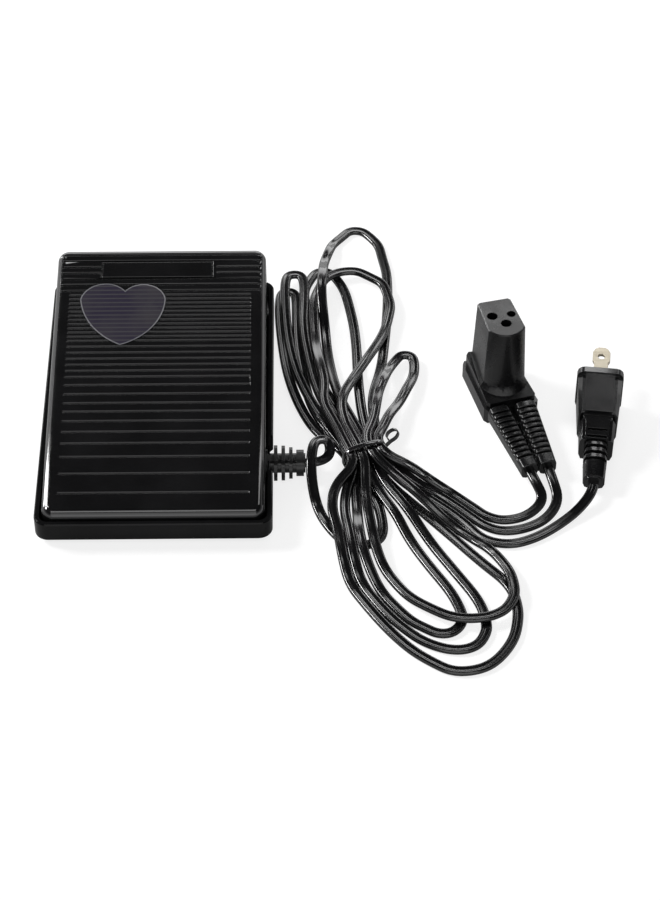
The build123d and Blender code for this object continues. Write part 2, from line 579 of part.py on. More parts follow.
relief_end = Vector(RELIEF_END, RELIEF_Y, RELIEF_Z)
left_boot_end, right_boot_end = boot_plane(-1, BOOT_LENGTH), boot_plane(1, BOOT_LENGTH)
plug_end = PLUG.from_local_coords((-PLUG_TAIL, 0, PLUG_TAIL_Z))
stretches = {
    "pedal_lead": led_out(relief_end, Vector(1, 0, 0), 5.2) + [
        (75.6, -31.0, 6.6), (75.0, -23.8, 9.4), (68.6, -25.4, 11.0), (67.0, -36.0, 10.8), (67.2, -46.5, 6.6),
        (69.4, -57.5, LOW), (73.6, -68.0, LOW), (79.6, -77.0, LOW), (86.6, -80.6, LOW), (93.4, -79.2, LOW)] + led_in(hank_end(first_hank[0], -1), heading(first_hank[0][3]), 6.2),
    "machine_lead": led_out(right_boot_end.origin, right_boot_end.z_dir, 6.6) + [
        (173.6, -56.0, 3.6), (168.0, -65.4, LOW), (158.4, -71.2, LOW), (148.3, -72.8, LOW), (141.0, -69.6, LOW)]
    + led_in(hank_end(first_hank[-1], 1), -heading(first_hank[-1][3]), 6.4),
    "machine_return": led_out(left_boot_end.origin, left_boot_end.z_dir, 6.0) + [
        (167.4, -55.4, 3.4), (160.0, -63.6, LOW), (149.5, -66.6, LOW), (142.0, -63.9, LOW)]
    + led_in(hank_end(second_hank[0], -1), heading(second_hank[0][3]), 6.1),
    "mains_lead": led_out(plug_end, -PLUG.x_dir, 5.0) + [
        (181.8, -61.4, 3.4), (172.6, -69.2, LOW), (162.0, -76.8, LOW), (151.0, -80.6, LOW), (139.6, -77.6, LOW)]
    + led_in(hank_end(second_hank[-1], 1), -heading(second_hank[-1][3]), 7.8),
}
section = RegularPolygon(CORD_D / 2, CORD_SIDES, mode=Mode.PRIVATE).area
for label, points in stretches.items():
    radii = corner_radii(points)
    with BuildPart() as stretch:
        with BuildLine() as stretch_line:
            FilletPolyline(*points, radius=radii)
        with BuildSketch(Plane(origin=points[0], z_dir=Vector(points[1]) - Vector(points[0]))):
            RegularPolygon(CORD_D / 2, CORD_SIDES)
        sweep(path=stretch_line.wire())
    length = stretch_line.wire().length
    print(f"{label}: length {length:.0f}, radii {[round(r, 1) for r in radii]}, "
          f"volume over section times length {stretch.part.volume / (section * length):.4f}")
    keep(stretch, label)


def measured(line):
    """Points about 1.5 mm apart along a line, each with its distance from the start."""
    places, along, travelled = [], [], 0.0
    for edge in line.edges():
        count = max(2, math.ceil(edge.length / 1.5))
        for i in range(count):
            places.append(tuple(edge.position_at(i / count)))
            along.append(travelled + edge.length * i / count)
        travelled += edge.length
    return np.array(places), np.array(along)


hank_points = {}
for label, stations in (("first_hank", first_hank), ("second_hank", second_hank)):
    points = [Vector(*s[:3]) for s in stations]
    aims = [heading(s[3]) for s in stations]
    with BuildPart() as hank:
        with BuildLine() as hank_line:
            Line(points[0] - aims[0] * CORD_D, points[0])
            for i in range(len(points) - 1):
                joint, aim, _ = biarc(points[i], aims[i], points[i + 1], aims[i + 1])
                bend(points[i], aims[i], joint)
                bend(joint, aim, points[i + 1])
            Line(points[-1], points[-1] + aims[-1] * CORD_D)
        with BuildSketch(Plane(origin=points[0] - aims[0] * CORD_D, z_dir=aims[0])):
            RegularPolygon(CORD_D / 2, CORD_SIDES)
        sweep(path=hank_line.wire())
    places, along = measured(hank_line)
    apart = np.linalg.norm(places[:, None, :] - places[None, :, :], axis=2)
    apart[np.abs(along[:, None] - along[None, :]) < 4 * CORD_D] = 1e9
    length = hank_line.wire().length
    print(f"{label}: length {length:.0f}, least gap to itself {apart.min() - CORD_D:.2f}, "
          f"volume over section times length {hank.part.volume / (section * length):.4f}")
    hank_points[label] = places
    keep(hank, label)
across = np.linalg.norm(hank_points["first_hank"][:, None, :] - hank_points["second_hank"][None, :, :], axis=2)
print(f"least gap between the hanks {across.min() - CORD_D:.2f}")

# ---- twist tie ----------------------------------------------------------------------------
TIE = Plane(origin=(TIE_X, TIE_Y, 0), x_dir=heading(TIE_HEADING - 90), z_dir=heading(TIE_HEADING - 180))
tie_top = LAYER_Z0 + 2 * LAYER + CORD_D / 2 + 0.4
with BuildPart() as cord_tie:
    with BuildSketch(TIE.shift_origin(TIE.from_local_coords((0, (tie_top + 1.0) / 2, 0)))):
        soft_rectangle(19.6, tie_top + 0.6, 1.6, 1)
        soft_rectangle(18.0, tie_top - 1.0, 1.2, 1, mode=Mode.SUBTRACT)
    extrude(amount=2.0, both=True)
    # the twisted ends beside the bundle
    for i in range(3):
        with BuildSketch(Plane(origin=TIE.from_local_coords((9.5 + 1.4 * i, 8.0, 0)), x_dir=TIE.y_dir.rotate(
                Axis((0, 0, 0), TIE.x_dir), 45 * i), z_dir=TIE.x_dir)):
            Rectangle(3.2, 1.8)
        extrude(amount=1.5)
    for lean in (-34, 38):
        aim = TIE.x_dir.rotate(Axis((0, 0, 0), TIE.z_dir), lean)
        with BuildSketch(Plane(origin=TIE.from_local_coords((13.2, 8.0, 0)), x_dir=TIE.z_dir, z_dir=aim)):
            Rectangle(3.2, 0.8)
        extrude(amount=7.0)
keep(cord_tie, "cord_tie")

# ---- machine connector --------------------------------------------------------------------
# place and radius of each contact hole, and the floor of the pocket that holds its sleeve
contacts = [(-1.7, -3.8, 2.4, 21.0), (-0.9, 4.7, 1.95, 22.5), (4.3, 0.7, 2.4, 19.5)]
CONTACT_MOUTH, SLEEVE_SEAT = 9.0, 0.45          # plain length of each hole, and the pocket's extra radius


def tower_outline():
    """Flat at the back, round towards the boots."""
    Polyline((-10.6, 7.5), (-11.6, 6.6), (-12.0, -6.2), (-11.2, -7.5), (6.4, -8.2))
    ThreePointArc((6.4, -8.2), (12.4, 0.3), (8.3, 8.1))
    Line((8.3, 8.1), (-10.6, 7.5))


block_top = Plane(origin=CONNECTOR.from_local_coords((-14, 0, CONNECTOR_BLOCK)), x_dir=CONNECTOR.y_dir,
                  z_dir=CONNECTOR.x_dir * BLOCK_FALL + Vector(0, 0, 1))
with BuildPart() as block:
    # a foot with a shoulder along its sides, and a narrower deck that falls towards the boots
    with BuildSketch(CONNECTOR.offset(0.4)):
        Polygon((-15.2, -11.0), (-13.4, -12.2), (16.6, -11.9), (BLOCK_FRONT, -10.6), (BLOCK_FRONT, 12.2), (17.4, 12.9),
                (4.0, 11.3), (-11.0, 10.2), (-13.4, 8.4), align=None)
    extrude(amount=7.4)
    with BuildSketch(CONNECTOR.offset(7.5)):
        Polygon((-14.2, -9.6), (-12.6, -11.0), (16.2, -10.7), (17.6, -9.4), (17.6, 10.9), (16.6, 11.7),
                (4.0, 10.1), (-10.2, 9.1), (-12.4, 7.4), align=None)
    extrude(amount=8.0)
    split(bisect_by=block_top, keep=Keep.BOTTOM)
with BuildPart() as connector_body:
    with BuildSketch(CONNECTOR.offset(CONNECTOR_H)):
        with BuildLine():
            tower_outline()
        make_face()
    extrude(amount=-(CONNECTOR_H - 10.0), taper=-2.2)
    chamfer(connector_body.faces().sort_by(Axis.Z)[-1].edges(), 0.5)
    # flare where the tower meets the deck
    with BuildSketch(CONNECTOR.offset(10.5)):
        with BuildLine():
            tower_outline()
        make_face()
        offset(amount=3.1, mode=Mode.REPLACE)
    extrude(amount=5.0, taper=24)
    add(block.part)
    for x, y, r, pocket in contacts:
        with BuildSketch(CONNECTOR.offset(CONNECTOR_H)):
            with Locations((x, y)):
                Circle(r)
        extrude(amount=-CONTACT_MOUTH, mode=Mode.SUBTRACT)
        with BuildSketch(CONNECTOR.offset(pocket)):
            with Locations((x, y)):
                Circle(r + SLEEVE_SEAT)
        extrude(amount=CONNECTOR_H - CONTACT_MOUTH - pocket, mode=Mode.SUBTRACT)
keep(connector_body, "connector_body")

with BuildPart() as contact_sleeves:
    for x, y, r, pocket in contacts:
        with BuildSketch(CONNECTOR.offset(pocket + 0.05)):
            with Locations((x, y)):
                RegularPolygon(r + SLEEVE_SEAT - 0.02, 16)
                RegularPolygon(r + 0.09, 16, mode=Mode.SUBTRACT)
        extrude(amount=CONNECTOR_H - CONTACT_MOUTH - pocket - 0.1)
keep(contact_sleeves, "contact_sleeves")

for label, side in (("boot_left", -1), ("boot_right", 1)):
    with BuildPart() as boot:
        for run, half in ((0.4, 4.9), (BOOT_LENGTH, 3.8)):
            with BuildSketch(boot_plane(side, run)):
                soft_rectangle(2 * half, 2 * half, half * 0.55)
        loft(ruled=True)
        for i in range(10):
            run = 4.3 + 3.1 * i
            half = 4.9 - 1.1 * run / BOOT_LENGTH
            for face in (-1, 1):
                with BuildSketch(boot_plane(side, run)):
                    with Locations((0, face * (half + 0.5))):
                        Rectangle(12, 4.4)
                extrude(amount=0.65, both=True, mode=Mode.SUBTRACT)
    keep(boot, label)

# ---- mains plug ---------------------------------------------------------------------------
PLUG_FACE = Plane(origin=PLUG.from_local_coords((0, 0, 0)), x_dir=-PLUG.y_dir, z_dir=-PLUG.x_dir)


def grip(back, half, panel, shoulder, crown, middle):
    """Cross-section of the plug: wings at the sides and a raised panel along the top."""
    with BuildSketch(PLUG_FACE.offset(back)) as section:
        with Locations((0, middle)):
            Polygon((-half, -shoulder), (-half, shoulder), (-panel - 1.4, crown - 1.5), (-panel, crown - 1.5),
                    (-panel, crown), (panel, crown), (panel, crown - 1.5), (panel + 1.4, crown - 1.5), (half, shoulder),
                    (half, -shoulder), (panel + 1.4, -crown), (-panel - 1.4, -crown), align=None)
    return section.sketch


with BuildPart() as plug_body:
    with BuildSketch(PLUG_FACE):
        with Locations((0, PLUG_Z)):
            soft_rectangle(20.6, 22.5, 3.4, 3)
    extrude(amount=3.2)
    loft([grip(3.0, 9.9, 6.4, 7.4, 10.8, PLUG_Z), grip(25.6, 8.6, 6.0, 6.0, 9.3, PLUG_Z)], ruled=True)
    with BuildSketch(PLUG_FACE.offset(25.4)):
        with Locations((0, 10.8)):
            Rectangle(12.6, 14.6)
    extrude(amount=2.2)
    loft([grip(27.4, 7.9, 5.2, 4.6, 8.4, 10.5), grip(36.9, 7.4, 5.0, 4.0, 6.7, 8.7)], ruled=True)
    # the first two slots of the strain relief run across the panel
    for back, floor in ((32.4, 15.2), (35.5, 13.9)):
        with BuildSketch(PLUG_FACE.offset(back)):
            with Locations((0, floor)):
                Rectangle(8.4, 6, align=(Align.CENTER, Align.MIN))
        extrude(amount=1.1, mode=Mode.SUBTRACT)
keep(plug_body, "plug_body")

with BuildPart() as plug_relief:
    for back, width, height, middle in ((36.95, 8.4, 8.8, 8.2), (PLUG_TAIL, 7.0, 6.8, PLUG_TAIL_Z)):
        with BuildSketch(PLUG_FACE.offset(back)):
            with Locations((0, middle)):
                soft_rectangle(width, height, 2.2)
    loft(ruled=True)
    for i in range(3):
        with BuildSketch(PLUG_FACE.offset(37.5 + 3.1 * i)):
            with Locations((0, 8.1 - 0.4 * i)):
                soft_rectangle(10.2, 12.4 - 0.7 * i, 3.0, 2)
        extrude(amount=1.9)
    for back, width, height, middle in ((46.8, 10.0, 10.2, 7.0), (PLUG_TAIL - 0.4, 9.4, 8.2, PLUG_TAIL_Z)):
        with BuildSketch(PLUG_FACE.offset(back)):
            with Locations((0, middle)):
                soft_rectangle(width, height, 2.8)
    loft(ruled=True)
keep(plug_relief, "plug_relief")

BLADE_HOLE = 11.6
with BuildPart() as plug_blades:
    for z in (PLUG_Z - BLADE_GAP / 2, PLUG_Z + BLADE_GAP / 2):
        with BuildSketch(PLUG.offset(z - 0.75)):
            Polygon((0.02, -3.1), (7.4, -3.1), (9.0, -3.9), (14.4, -3.9), (16.6, -2.9), (17.6, -1.5), (17.6, 1.5),
                    (16.6, 2.9), (14.4, 3.9), (9.0, 3.9), (7.4, 3.1), (0.02, 3.1), align=None)
            with Locations((BLADE_HOLE, 0)):
                Circle(1.6, mode=Mode.SUBTRACT)
        extrude(amount=1.5)
keep(plug_blades, "plug_blades")

print("parts written")
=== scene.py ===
"""Sewing machine foot pedal with its bundled leads: finishes, soft forms, camera and studio."""

import json
import logging
import math
from dataclasses import dataclass, field
from enum import Enum

import bmesh
import bpy
from mathutils import Matrix, Vector


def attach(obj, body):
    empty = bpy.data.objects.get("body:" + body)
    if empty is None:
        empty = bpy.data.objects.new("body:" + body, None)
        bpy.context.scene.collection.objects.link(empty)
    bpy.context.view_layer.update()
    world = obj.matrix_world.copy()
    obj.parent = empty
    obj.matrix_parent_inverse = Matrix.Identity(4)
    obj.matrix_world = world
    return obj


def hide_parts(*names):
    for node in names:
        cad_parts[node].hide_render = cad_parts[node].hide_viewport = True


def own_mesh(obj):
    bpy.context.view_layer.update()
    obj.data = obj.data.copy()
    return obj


with open("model.json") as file:
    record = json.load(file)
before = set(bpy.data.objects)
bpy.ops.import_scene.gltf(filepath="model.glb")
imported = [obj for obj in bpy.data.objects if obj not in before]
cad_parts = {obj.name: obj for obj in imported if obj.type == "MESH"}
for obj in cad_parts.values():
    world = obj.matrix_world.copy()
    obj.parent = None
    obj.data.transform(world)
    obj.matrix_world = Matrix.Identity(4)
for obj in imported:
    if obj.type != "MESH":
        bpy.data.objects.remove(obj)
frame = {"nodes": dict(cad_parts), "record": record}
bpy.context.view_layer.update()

log = logging.getLogger("foot_pedal")
MM = 0.001
Point = tuple[float, float, float]
# a point in millimetres and the heading there, in degrees
Station = tuple[float, float, float, float]


class Body(Enum):
    """The rigid bodies that the pieces made here ride on."""

    BASE = "base"
    TREADLE = "treadle"


class Grain(Enum):
    """The small-scale relief of a finish."""

    ORANGE_PEEL = "slow waves of polished moulding"
    SPARK = "fine spark-eroded texture"
    DRAWN = "lines drawn along the stock"
    FLAKE = "pressed paper layers"


# ---- finishes -----------------------------------------------------------------------------
@dataclass(frozen=True)
class Pattern:
    """A slow noise, and the levels of it between which one look turns into the other.

    Attributes:
        size: size of its features, in metres.
        octaves: layers of detail.
        low: level up to which the first look is whole.
        high: level from which the second look is whole.
    """

    size: float
    octaves: float
    low: float
    high: float


PATCHES = Pattern(0.021, 4.0, 0.42, 0.78)
SMEARS = Pattern(0.012, 6.0, 0.35, 0.75)
DRAWN_STRETCH = (1.0, 14.0, 14.0)  # how much closer the drawn lines lie across the stock than along it
PEEL_OCTAVES, FINE_OCTAVES = 1.0, 5.0


@dataclass(frozen=True)
class Finish:
    """A solid material whose colour, gloss and relief vary a little over the surface.

    Attributes:
        name: the record's slot for the finish.
        colour: main colour, linear red, green and blue.
        worn: colour of the rubbed or dusty places.
        roughness: lowest and highest roughness.
        grain: kind of relief.
        grain_size: size of the relief in metres.
        relief: bump distance in metres.
        metallic: 0 for plastics, 1 for metals.
        specular: specular level of the shader.
        coat: weight of a clear top layer.
        coat_roughness: roughness of that layer.
    """

    name: str
    colour: Point
    worn: Point
    roughness: tuple[float, float]
    grain: Grain = Grain.ORANGE_PEEL
    grain_size: float = 0.004
    relief: float = 0.00002
    metallic: float = 0.0
    specular: float = 0.5
    coat: float = 0.0
    coat_roughness: float = 0.05

    def make(self) -> bpy.types.Material:
        """Build the material's nodes.

        Returns:
            The material, ready to assign.
        """
        material = bpy.data.materials.new(self.name)
        material.use_nodes = True
        tree = material.node_tree
        shader = tree.nodes["Principled BSDF"]
        shader.inputs["Metallic"].default_value = self.metallic
        shader.inputs["Specular IOR Level"].default_value = self.specular
        shader.inputs["Coat Weight"].default_value = self.coat
        shader.inputs["Coat Roughness"].default_value = self.coat_roughness
        self.dress(tree, shader)
        return material

    def dress(self, tree: bpy.types.NodeTree, shader: bpy.types.Node) -> None:
        """Add the colour, gloss and relief patterns.

        Args:
            tree: node tree of the material.
            shader: its Principled shader.
        """
        place = tree.nodes.new("ShaderNodeTexCoord")
        mapping = tree.nodes.new("ShaderNodeMapping")
        if self.grain is Grain.DRAWN:
            mapping.inputs["Scale"].default_value = DRAWN_STRETCH
        tree.links.new(place.outputs["Object"], mapping.inputs["Vector"])
        colours = self.blend(tree, mapping, PATCHES, self.colour, self.worn)
        tree.links.new(colours.outputs["Color"], shader.inputs["Base Color"])
        low, high = self.roughness
        gloss = self.blend(tree, mapping, SMEARS, (low, low, low), (high, high, high))
        tree.links.new(gloss.outputs["Color"], shader.inputs["Roughness"])
        octaves = PEEL_OCTAVES if self.grain is Grain.ORANGE_PEEL else FINE_OCTAVES
        fine = self.noise(tree, mapping, self.grain_size, octaves)
        bump = tree.nodes.new("ShaderNodeBump")
        bump.inputs["Strength"].default_value = 1.0
        bump.inputs["Distance"].default_value = self.relief
        tree.links.new(fine.outputs["Fac"], bump.inputs["Height"])
        tree.links.new(bump.outputs["Normal"], shader.inputs["Normal"])

    def noise(self, tree: bpy.types.NodeTree, mapping: bpy.types.Node, size: float, octaves: float) -> bpy.types.Node:
        """Add a noise pattern.

        Args:
            tree: node tree of the material.
            mapping: node that gives the coordinates.
            size: size of the features, in metres.
            octaves: layers of detail.

        Returns:
            The noise node.
        """
        pattern = tree.nodes.new("ShaderNodeTexNoise")
        pattern.inputs["Scale"].default_value = 1 / size
        pattern.inputs["Detail"].default_value = octaves
        tree.links.new(mapping.outputs["Vector"], pattern.inputs["Vector"])
        return pattern

    def blend(self, tree: bpy.types.NodeTree, mapping: bpy.types.Node, pattern: Pattern, first: Point,
              second: Point) -> bpy.types.Node:
        """Add a blend of two colours over a pattern.

        Args:
            tree: node tree of the material.
            mapping: node that gives the coordinates.
            pattern: where each colour lies.
            first: colour of the low places.
            second: colour of the high places.

        Returns:
            The ramp node that holds the blend.
        """
        source = self.noise(tree, mapping, pattern.size, pattern.octaves)
        blend = tree.nodes.new("ShaderNodeValToRGB")
        low, high = blend.color_ramp.elements
        low.position, high.position = pattern.low, pattern.high
        low.color, high.color = (*first, 1), (*second, 1)
        tree.links.new(source.outputs["Fac"], blend.inputs["Fac"])
        return blend


@dataclass(frozen=True)
class RibbedFilm(Finish):
    """Translucent film laid over the tread, with paler lines painted along the grooves below: a painted highlight of
    the groove edges.

    Attributes:
        first_groove: place of one groove along the tread, in metres.
        pitch: distance between grooves, in metres.
        line: colour of the painted highlight along each groove.
        highlight_edges: distances from a groove's middle where its painted highlight starts and stops fading.
    """

    first_groove: float = 0.0459
    pitch: float = 0.0024
    # painted highlight: the colour laid along each groove
    line: Point = (0.050, 0.048, 0.054)
    highlight_edges: tuple[float, float] = (0.00018, 0.00052)

    def dress(self, tree: bpy.types.NodeTree, shader: bpy.types.Node) -> None:
        """Add the painted groove highlights to the plain finish.

        Args:
            tree: node tree of the material.
            shader: its Principled shader.
        """
        super().dress(tree, shader)
        plain = shader.inputs["Base Color"].links[0].from_socket
        place = tree.nodes.new("ShaderNodeTexCoord")
        split = tree.nodes.new("ShaderNodeSeparateXYZ")
        tree.links.new(place.outputs["Object"], split.inputs["Vector"])
        folded = split.outputs["Y"]
        for operation, amount in (("SUBTRACT", self.first_groove), ("PINGPONG", self.pitch / 2)):
            step = tree.nodes.new("ShaderNodeMath")
            step.operation = operation
            step.inputs[1].default_value = amount
            tree.links.new(folded, step.inputs[0])
            folded = step.outputs[0]
        # painted highlight: a paler band centred on each groove, fading out to the plain film
        groove_highlight_band = tree.nodes.new("ShaderNodeMapRange")
        for side, edge in zip(("From Min", "From Max"), self.highlight_edges):
            groove_highlight_band.inputs[side].default_value = edge
        groove_highlight_band.inputs["To Min"].default_value = 1.0
        groove_highlight_band.inputs["To Max"].default_value = 0.0
        tree.links.new(folded, groove_highlight_band.inputs["Value"])
        blend = tree.nodes.new("ShaderNodeMix")
        blend.data_type = "RGBA"
        tree.links.new(groove_highlight_band.outputs["Result"], blend.inputs["Factor"])
        tree.links.new(plain, blend.inputs[6])
        blend.inputs[7].default_value = (*self.line, 1)
        tree.links.new(blend.outputs[2], shader.inputs["Base Color"])


BLACK = (0.0048, 0.0048, 0.0050)
DUSTY = (0.0082, 0.0082, 0.0086)
DEEP_BLACK = (0.0035, 0.0035, 0.0038)
PEEL, SPARK, DRAWN, FLAKE = Grain.ORANGE_PEEL, Grain.SPARK, Grain.DRAWN, Grain.FLAKE
FINISHES: dict[str, Finish] = {finish.name: finish for finish in (
    Finish("tray_black", BLACK, DUSTY, (0.09, 0.16), PEEL, 0.006, 0.00002, specular=0.22),
    Finish("cover_black", BLACK, DUSTY, (0.08, 0.15), PEEL, 0.007, 0.00002, coat=0.8),
    Finish("foot_rubber", (0.02, 0.02, 0.02), (0.05, 0.048, 0.045), (0.7, 0.9), SPARK, 0.0006, 0.00006, specular=0.3),
    RibbedFilm("label_violet", (0.0250, 0.0215, 0.0360), (0.0460, 0.0430, 0.0460), (0.14, 0.24), PEEL, 0.005, 0.00004,
               coat=0.3),
    Finish("steel", (0.46, 0.46, 0.47), (0.56, 0.55, 0.52), (0.25, 0.42), DRAWN, 0.0012, 0.00001, 1.0),
    Finish("spring_steel", (0.36, 0.36, 0.38), (0.46, 0.45, 0.44), (0.22, 0.36), DRAWN, 0.0010, 0.00001, 1.0),
    Finish("screw_steel", (0.50, 0.50, 0.51), (0.62, 0.60, 0.55), (0.20, 0.38), SPARK, 0.0008, 0.00001, 1.0),
    Finish("lever_nylon", (0.62, 0.60, 0.53), (0.70, 0.67, 0.60), (0.40, 0.55), SPARK, 0.0009, 0.00003),
    Finish("contact_brass", (0.62, 0.44, 0.17), (0.44, 0.29, 0.11), (0.22, 0.42), DRAWN, 0.0010, 0.00001, 1.0),
    Finish("board", (0.33, 0.19, 0.075), (0.40, 0.25, 0.11), (0.38, 0.55), FLAKE, 0.0022, 0.00003),
    Finish("heat_sink_aluminium", (0.62, 0.62, 0.64), (0.50, 0.50, 0.52), (0.28, 0.45), DRAWN, 0.0011, 0.00002, 1.0),
    Finish("component_black", (0.018, 0.018, 0.019), (0.034, 0.034, 0.034), (0.38, 0.60), SPARK, 0.0007, 0.00004),
    Finish("capacitor_yellow", (0.62, 0.42, 0.04), (0.54, 0.36, 0.04), (0.25, 0.40), PEEL, 0.003, 0.00002),
    Finish("choke", (0.26, 0.085, 0.025), (0.36, 0.14, 0.05), (0.30, 0.50), DRAWN, 0.0009, 0.00005, 0.4),
    Finish("resistor", (0.48, 0.33, 0.18), (0.56, 0.42, 0.26), (0.28, 0.42), PEEL, 0.002, 0.00002),
    Finish("terminal_white", (0.70, 0.70, 0.66), (0.60, 0.59, 0.54), (0.38, 0.52), SPARK, 0.0008, 0.00003),
    Finish("wire", (0.30, 0.020, 0.015), (0.38, 0.035, 0.03), (0.28, 0.42), PEEL, 0.002, 0.00002),
    Finish("relief_black", (0.0035, 0.0035, 0.0037), (0.0080, 0.0080, 0.0080), (0.26, 0.38), SPARK, 0.0008, 0.00003),
    Finish("cord_black", (0.0028, 0.0028, 0.0030), (0.0050, 0.0050, 0.0052), (0.16, 0.24), PEEL, 0.006, 0.00001,
           coat=0.8, coat_roughness=0.11),
    Finish("tie_black", (0.0070, 0.0070, 0.0074), (0.015, 0.015, 0.015), (0.12, 0.22), PEEL, 0.002, 0.00003, coat=0.8),
    Finish("connector_black", (0.0040, 0.0040, 0.0043), (0.0085, 0.0085, 0.0087), (0.24, 0.34), SPARK, 0.0009, 0.00003,
           coat=0.1),
    Finish("boot_black", DEEP_BLACK, (0.0075, 0.0075, 0.0078), (0.22, 0.32), SPARK, 0.0008, 0.00003, coat=0.3),
    Finish("plug_black", DEEP_BLACK, (0.0070, 0.0070, 0.0072), (0.18, 0.28), SPARK, 0.0009, 0.00003, coat=0.4),
    Finish("blade_nickel", (0.55, 0.50, 0.40), (0.44, 0.385, 0.28), (0.34, 0.48), DRAWN, 0.0014, 0.00001, 0.55),
)}
# painted highlight: the pale colour of the rim round the label's top
PAINTED_RIM_HIGHLIGHT = Finish("label_rim_highlight", (0.120, 0.120, 0.130), (0.26, 0.26, 0.27), (0.2, 0.35), SPARK, 0.0011, 0.00004)

MADE: dict[str, bpy.types.Material] = {}

# ---- helpers for meshes -------------------------------------------------------------------
SAME_SPOT = 2e-6  # metres between points that are one
LEVEL_ANGLE = 0.6  # degrees between faces that are one flat
EASED_ANGLE = 32  # degrees from which a moulded edge is rounded
SHARP_ANGLE = 38.0  # degrees from which an edge stays sharp in the shading
FLATS_WEIGHT = 100  # how far the large flats decide the shading of the small faces


def material_for(slot: str) -> bpy.types.Material:
    """Return the material of a slot, making it the first time.

    Args:
        slot: name of the finish.

    Returns:
        The material, shared by every piece of that finish.
    """
    if slot not in MADE:
        MADE[slot] = FINISHES[slot].make()
    return MADE[slot]


def merged_copy(node: str) -> bmesh.types.BMesh:
    """Copy a rigid part's mesh, joined up and with its flat faces whole.

    Args:
        node: the part.

    Returns:
        The copy, in metres.
    """
    shape = bmesh.new()
    shape.from_mesh(frame["nodes"][node].data)
    bmesh.ops.remove_doubles(shape, verts=shape.verts, dist=SAME_SPOT)
    bmesh.ops.dissolve_limit(shape, angle_limit=math.radians(LEVEL_ANGLE), verts=shape.verts, edges=shape.edges)
    return shape


def in_scene(name: str, data: bpy.types.ID) -> bpy.types.Object:
    """Put a mesh, curve, lamp or camera in the scene.

    Args:
        name: name of the object.
        data: what it shows.

    Returns:
        The object.
    """
    holder = bpy.data.objects.new(name, data)
    bpy.context.scene.collection.objects.link(holder)
    return holder


def finish_object(name: str, shape: bmesh.types.BMesh, slot: str, body: Body,
                  sharp: float = SHARP_ANGLE) -> bpy.types.Object:
    """Turn a bmesh into a smooth-shaded piece with its finish, riding on its body.

    Args:
        name: the piece's name.
        shape: the finished shape, in metres; it is freed.
        slot: its finish.
        body: the body that it rides on.
        sharp: edges over this angle, in degrees, stay sharp.

    Returns:
        The new object.
    """
    mesh = bpy.data.meshes.new(name)
    shape.to_mesh(mesh)
    shape.free()
    mesh.polygons.foreach_set("use_smooth", [True] * len(mesh.polygons))
    mesh.set_sharp_from_angle(angle=math.radians(sharp))
    piece = in_scene(name, mesh)
    piece.data.materials.append(material_for(slot))
    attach(piece, body.value)
    return piece


def eased_copy(node: str, name: str, slot: str, body: Body, ease: float, segments: int = 2,
               full: bool = False) -> bpy.types.Object:
    """Copy a rigid part, with its edges rounded over as a mould leaves them.

    Args:
        node: the part.
        name: name of the new piece.
        slot: its finish.
        body: the body that it rides on.
        ease: width of the rounding, in millimetres.
        segments: steps of the rounding.
        full: split the wide flats into triangles, so that the rounding can keep its full width everywhere.

    Returns:
        The new object, which stands for the part.
    """
    shape = merged_copy(node)
    if full:
        bmesh.ops.triangulate(shape, faces=[face for face in shape.faces if len(face.verts) > 4], ngon_method="BEAUTY")
    piece = finish_object(name, shape, slot, body)
    rounding = piece.modifiers.new("eased_edges", "BEVEL")
    rounding.width = ease * MM
    rounding.segments = segments
    rounding.limit_method = "ANGLE"
    rounding.angle_limit = math.radians(EASED_ANGLE)
    rounding.use_clamp_overlap = rounding.loop_slide = not full
    flats = piece.modifiers.new("level_flats", "WEIGHTED_NORMAL")
    flats.weight = FLATS_WEIGHT
    flats.keep_sharp = True
    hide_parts(node)
    return piece


def smooth_line(name: str, points: list[Point], steps: int, closed: bool = False,
                flat: bool = False) -> bpy.types.Curve:
    """Make a smooth line along its control points.

    Args:
        name: name of the curve.
        points: the control points.
        steps: steps of the line from one to the next.
        closed: whether it closes; an open line reaches both of its end points.
        flat: whether it stays in its own plane.

    Returns:
        The curve.
    """
    line = bpy.data.curves.new(name, "CURVE")
    line.dimensions = "2D" if flat else "3D"
    line.resolution_u = steps
    spline = line.splines.new("NURBS")
    spline.points.add(len(points) - 1)
    for control, point in zip(spline.points, points):
        control.co = (*point, 1)
    spline.order_u = 3
    spline.use_cyclic_u = closed
    spline.use_endpoint_u = not closed
    return line


def swept_shape(guide: bpy.types.Object, merge: float) -> bmesh.types.BMesh:
    """Turn a line that has a section into a mesh, and take the line away.

    Args:
        guide: object of the line.
        merge: distance between points that are one.

    Returns:
        The shape.
    """
    bpy.context.view_layer.update()
    mesh = bpy.data.meshes.new_from_object(guide.evaluated_get(bpy.context.evaluated_depsgraph_get()))
    bpy.data.objects.remove(guide)
    shape = bmesh.new()
    shape.from_mesh(mesh)
    bmesh.ops.remove_doubles(shape, verts=shape.verts, dist=merge)
    return shape


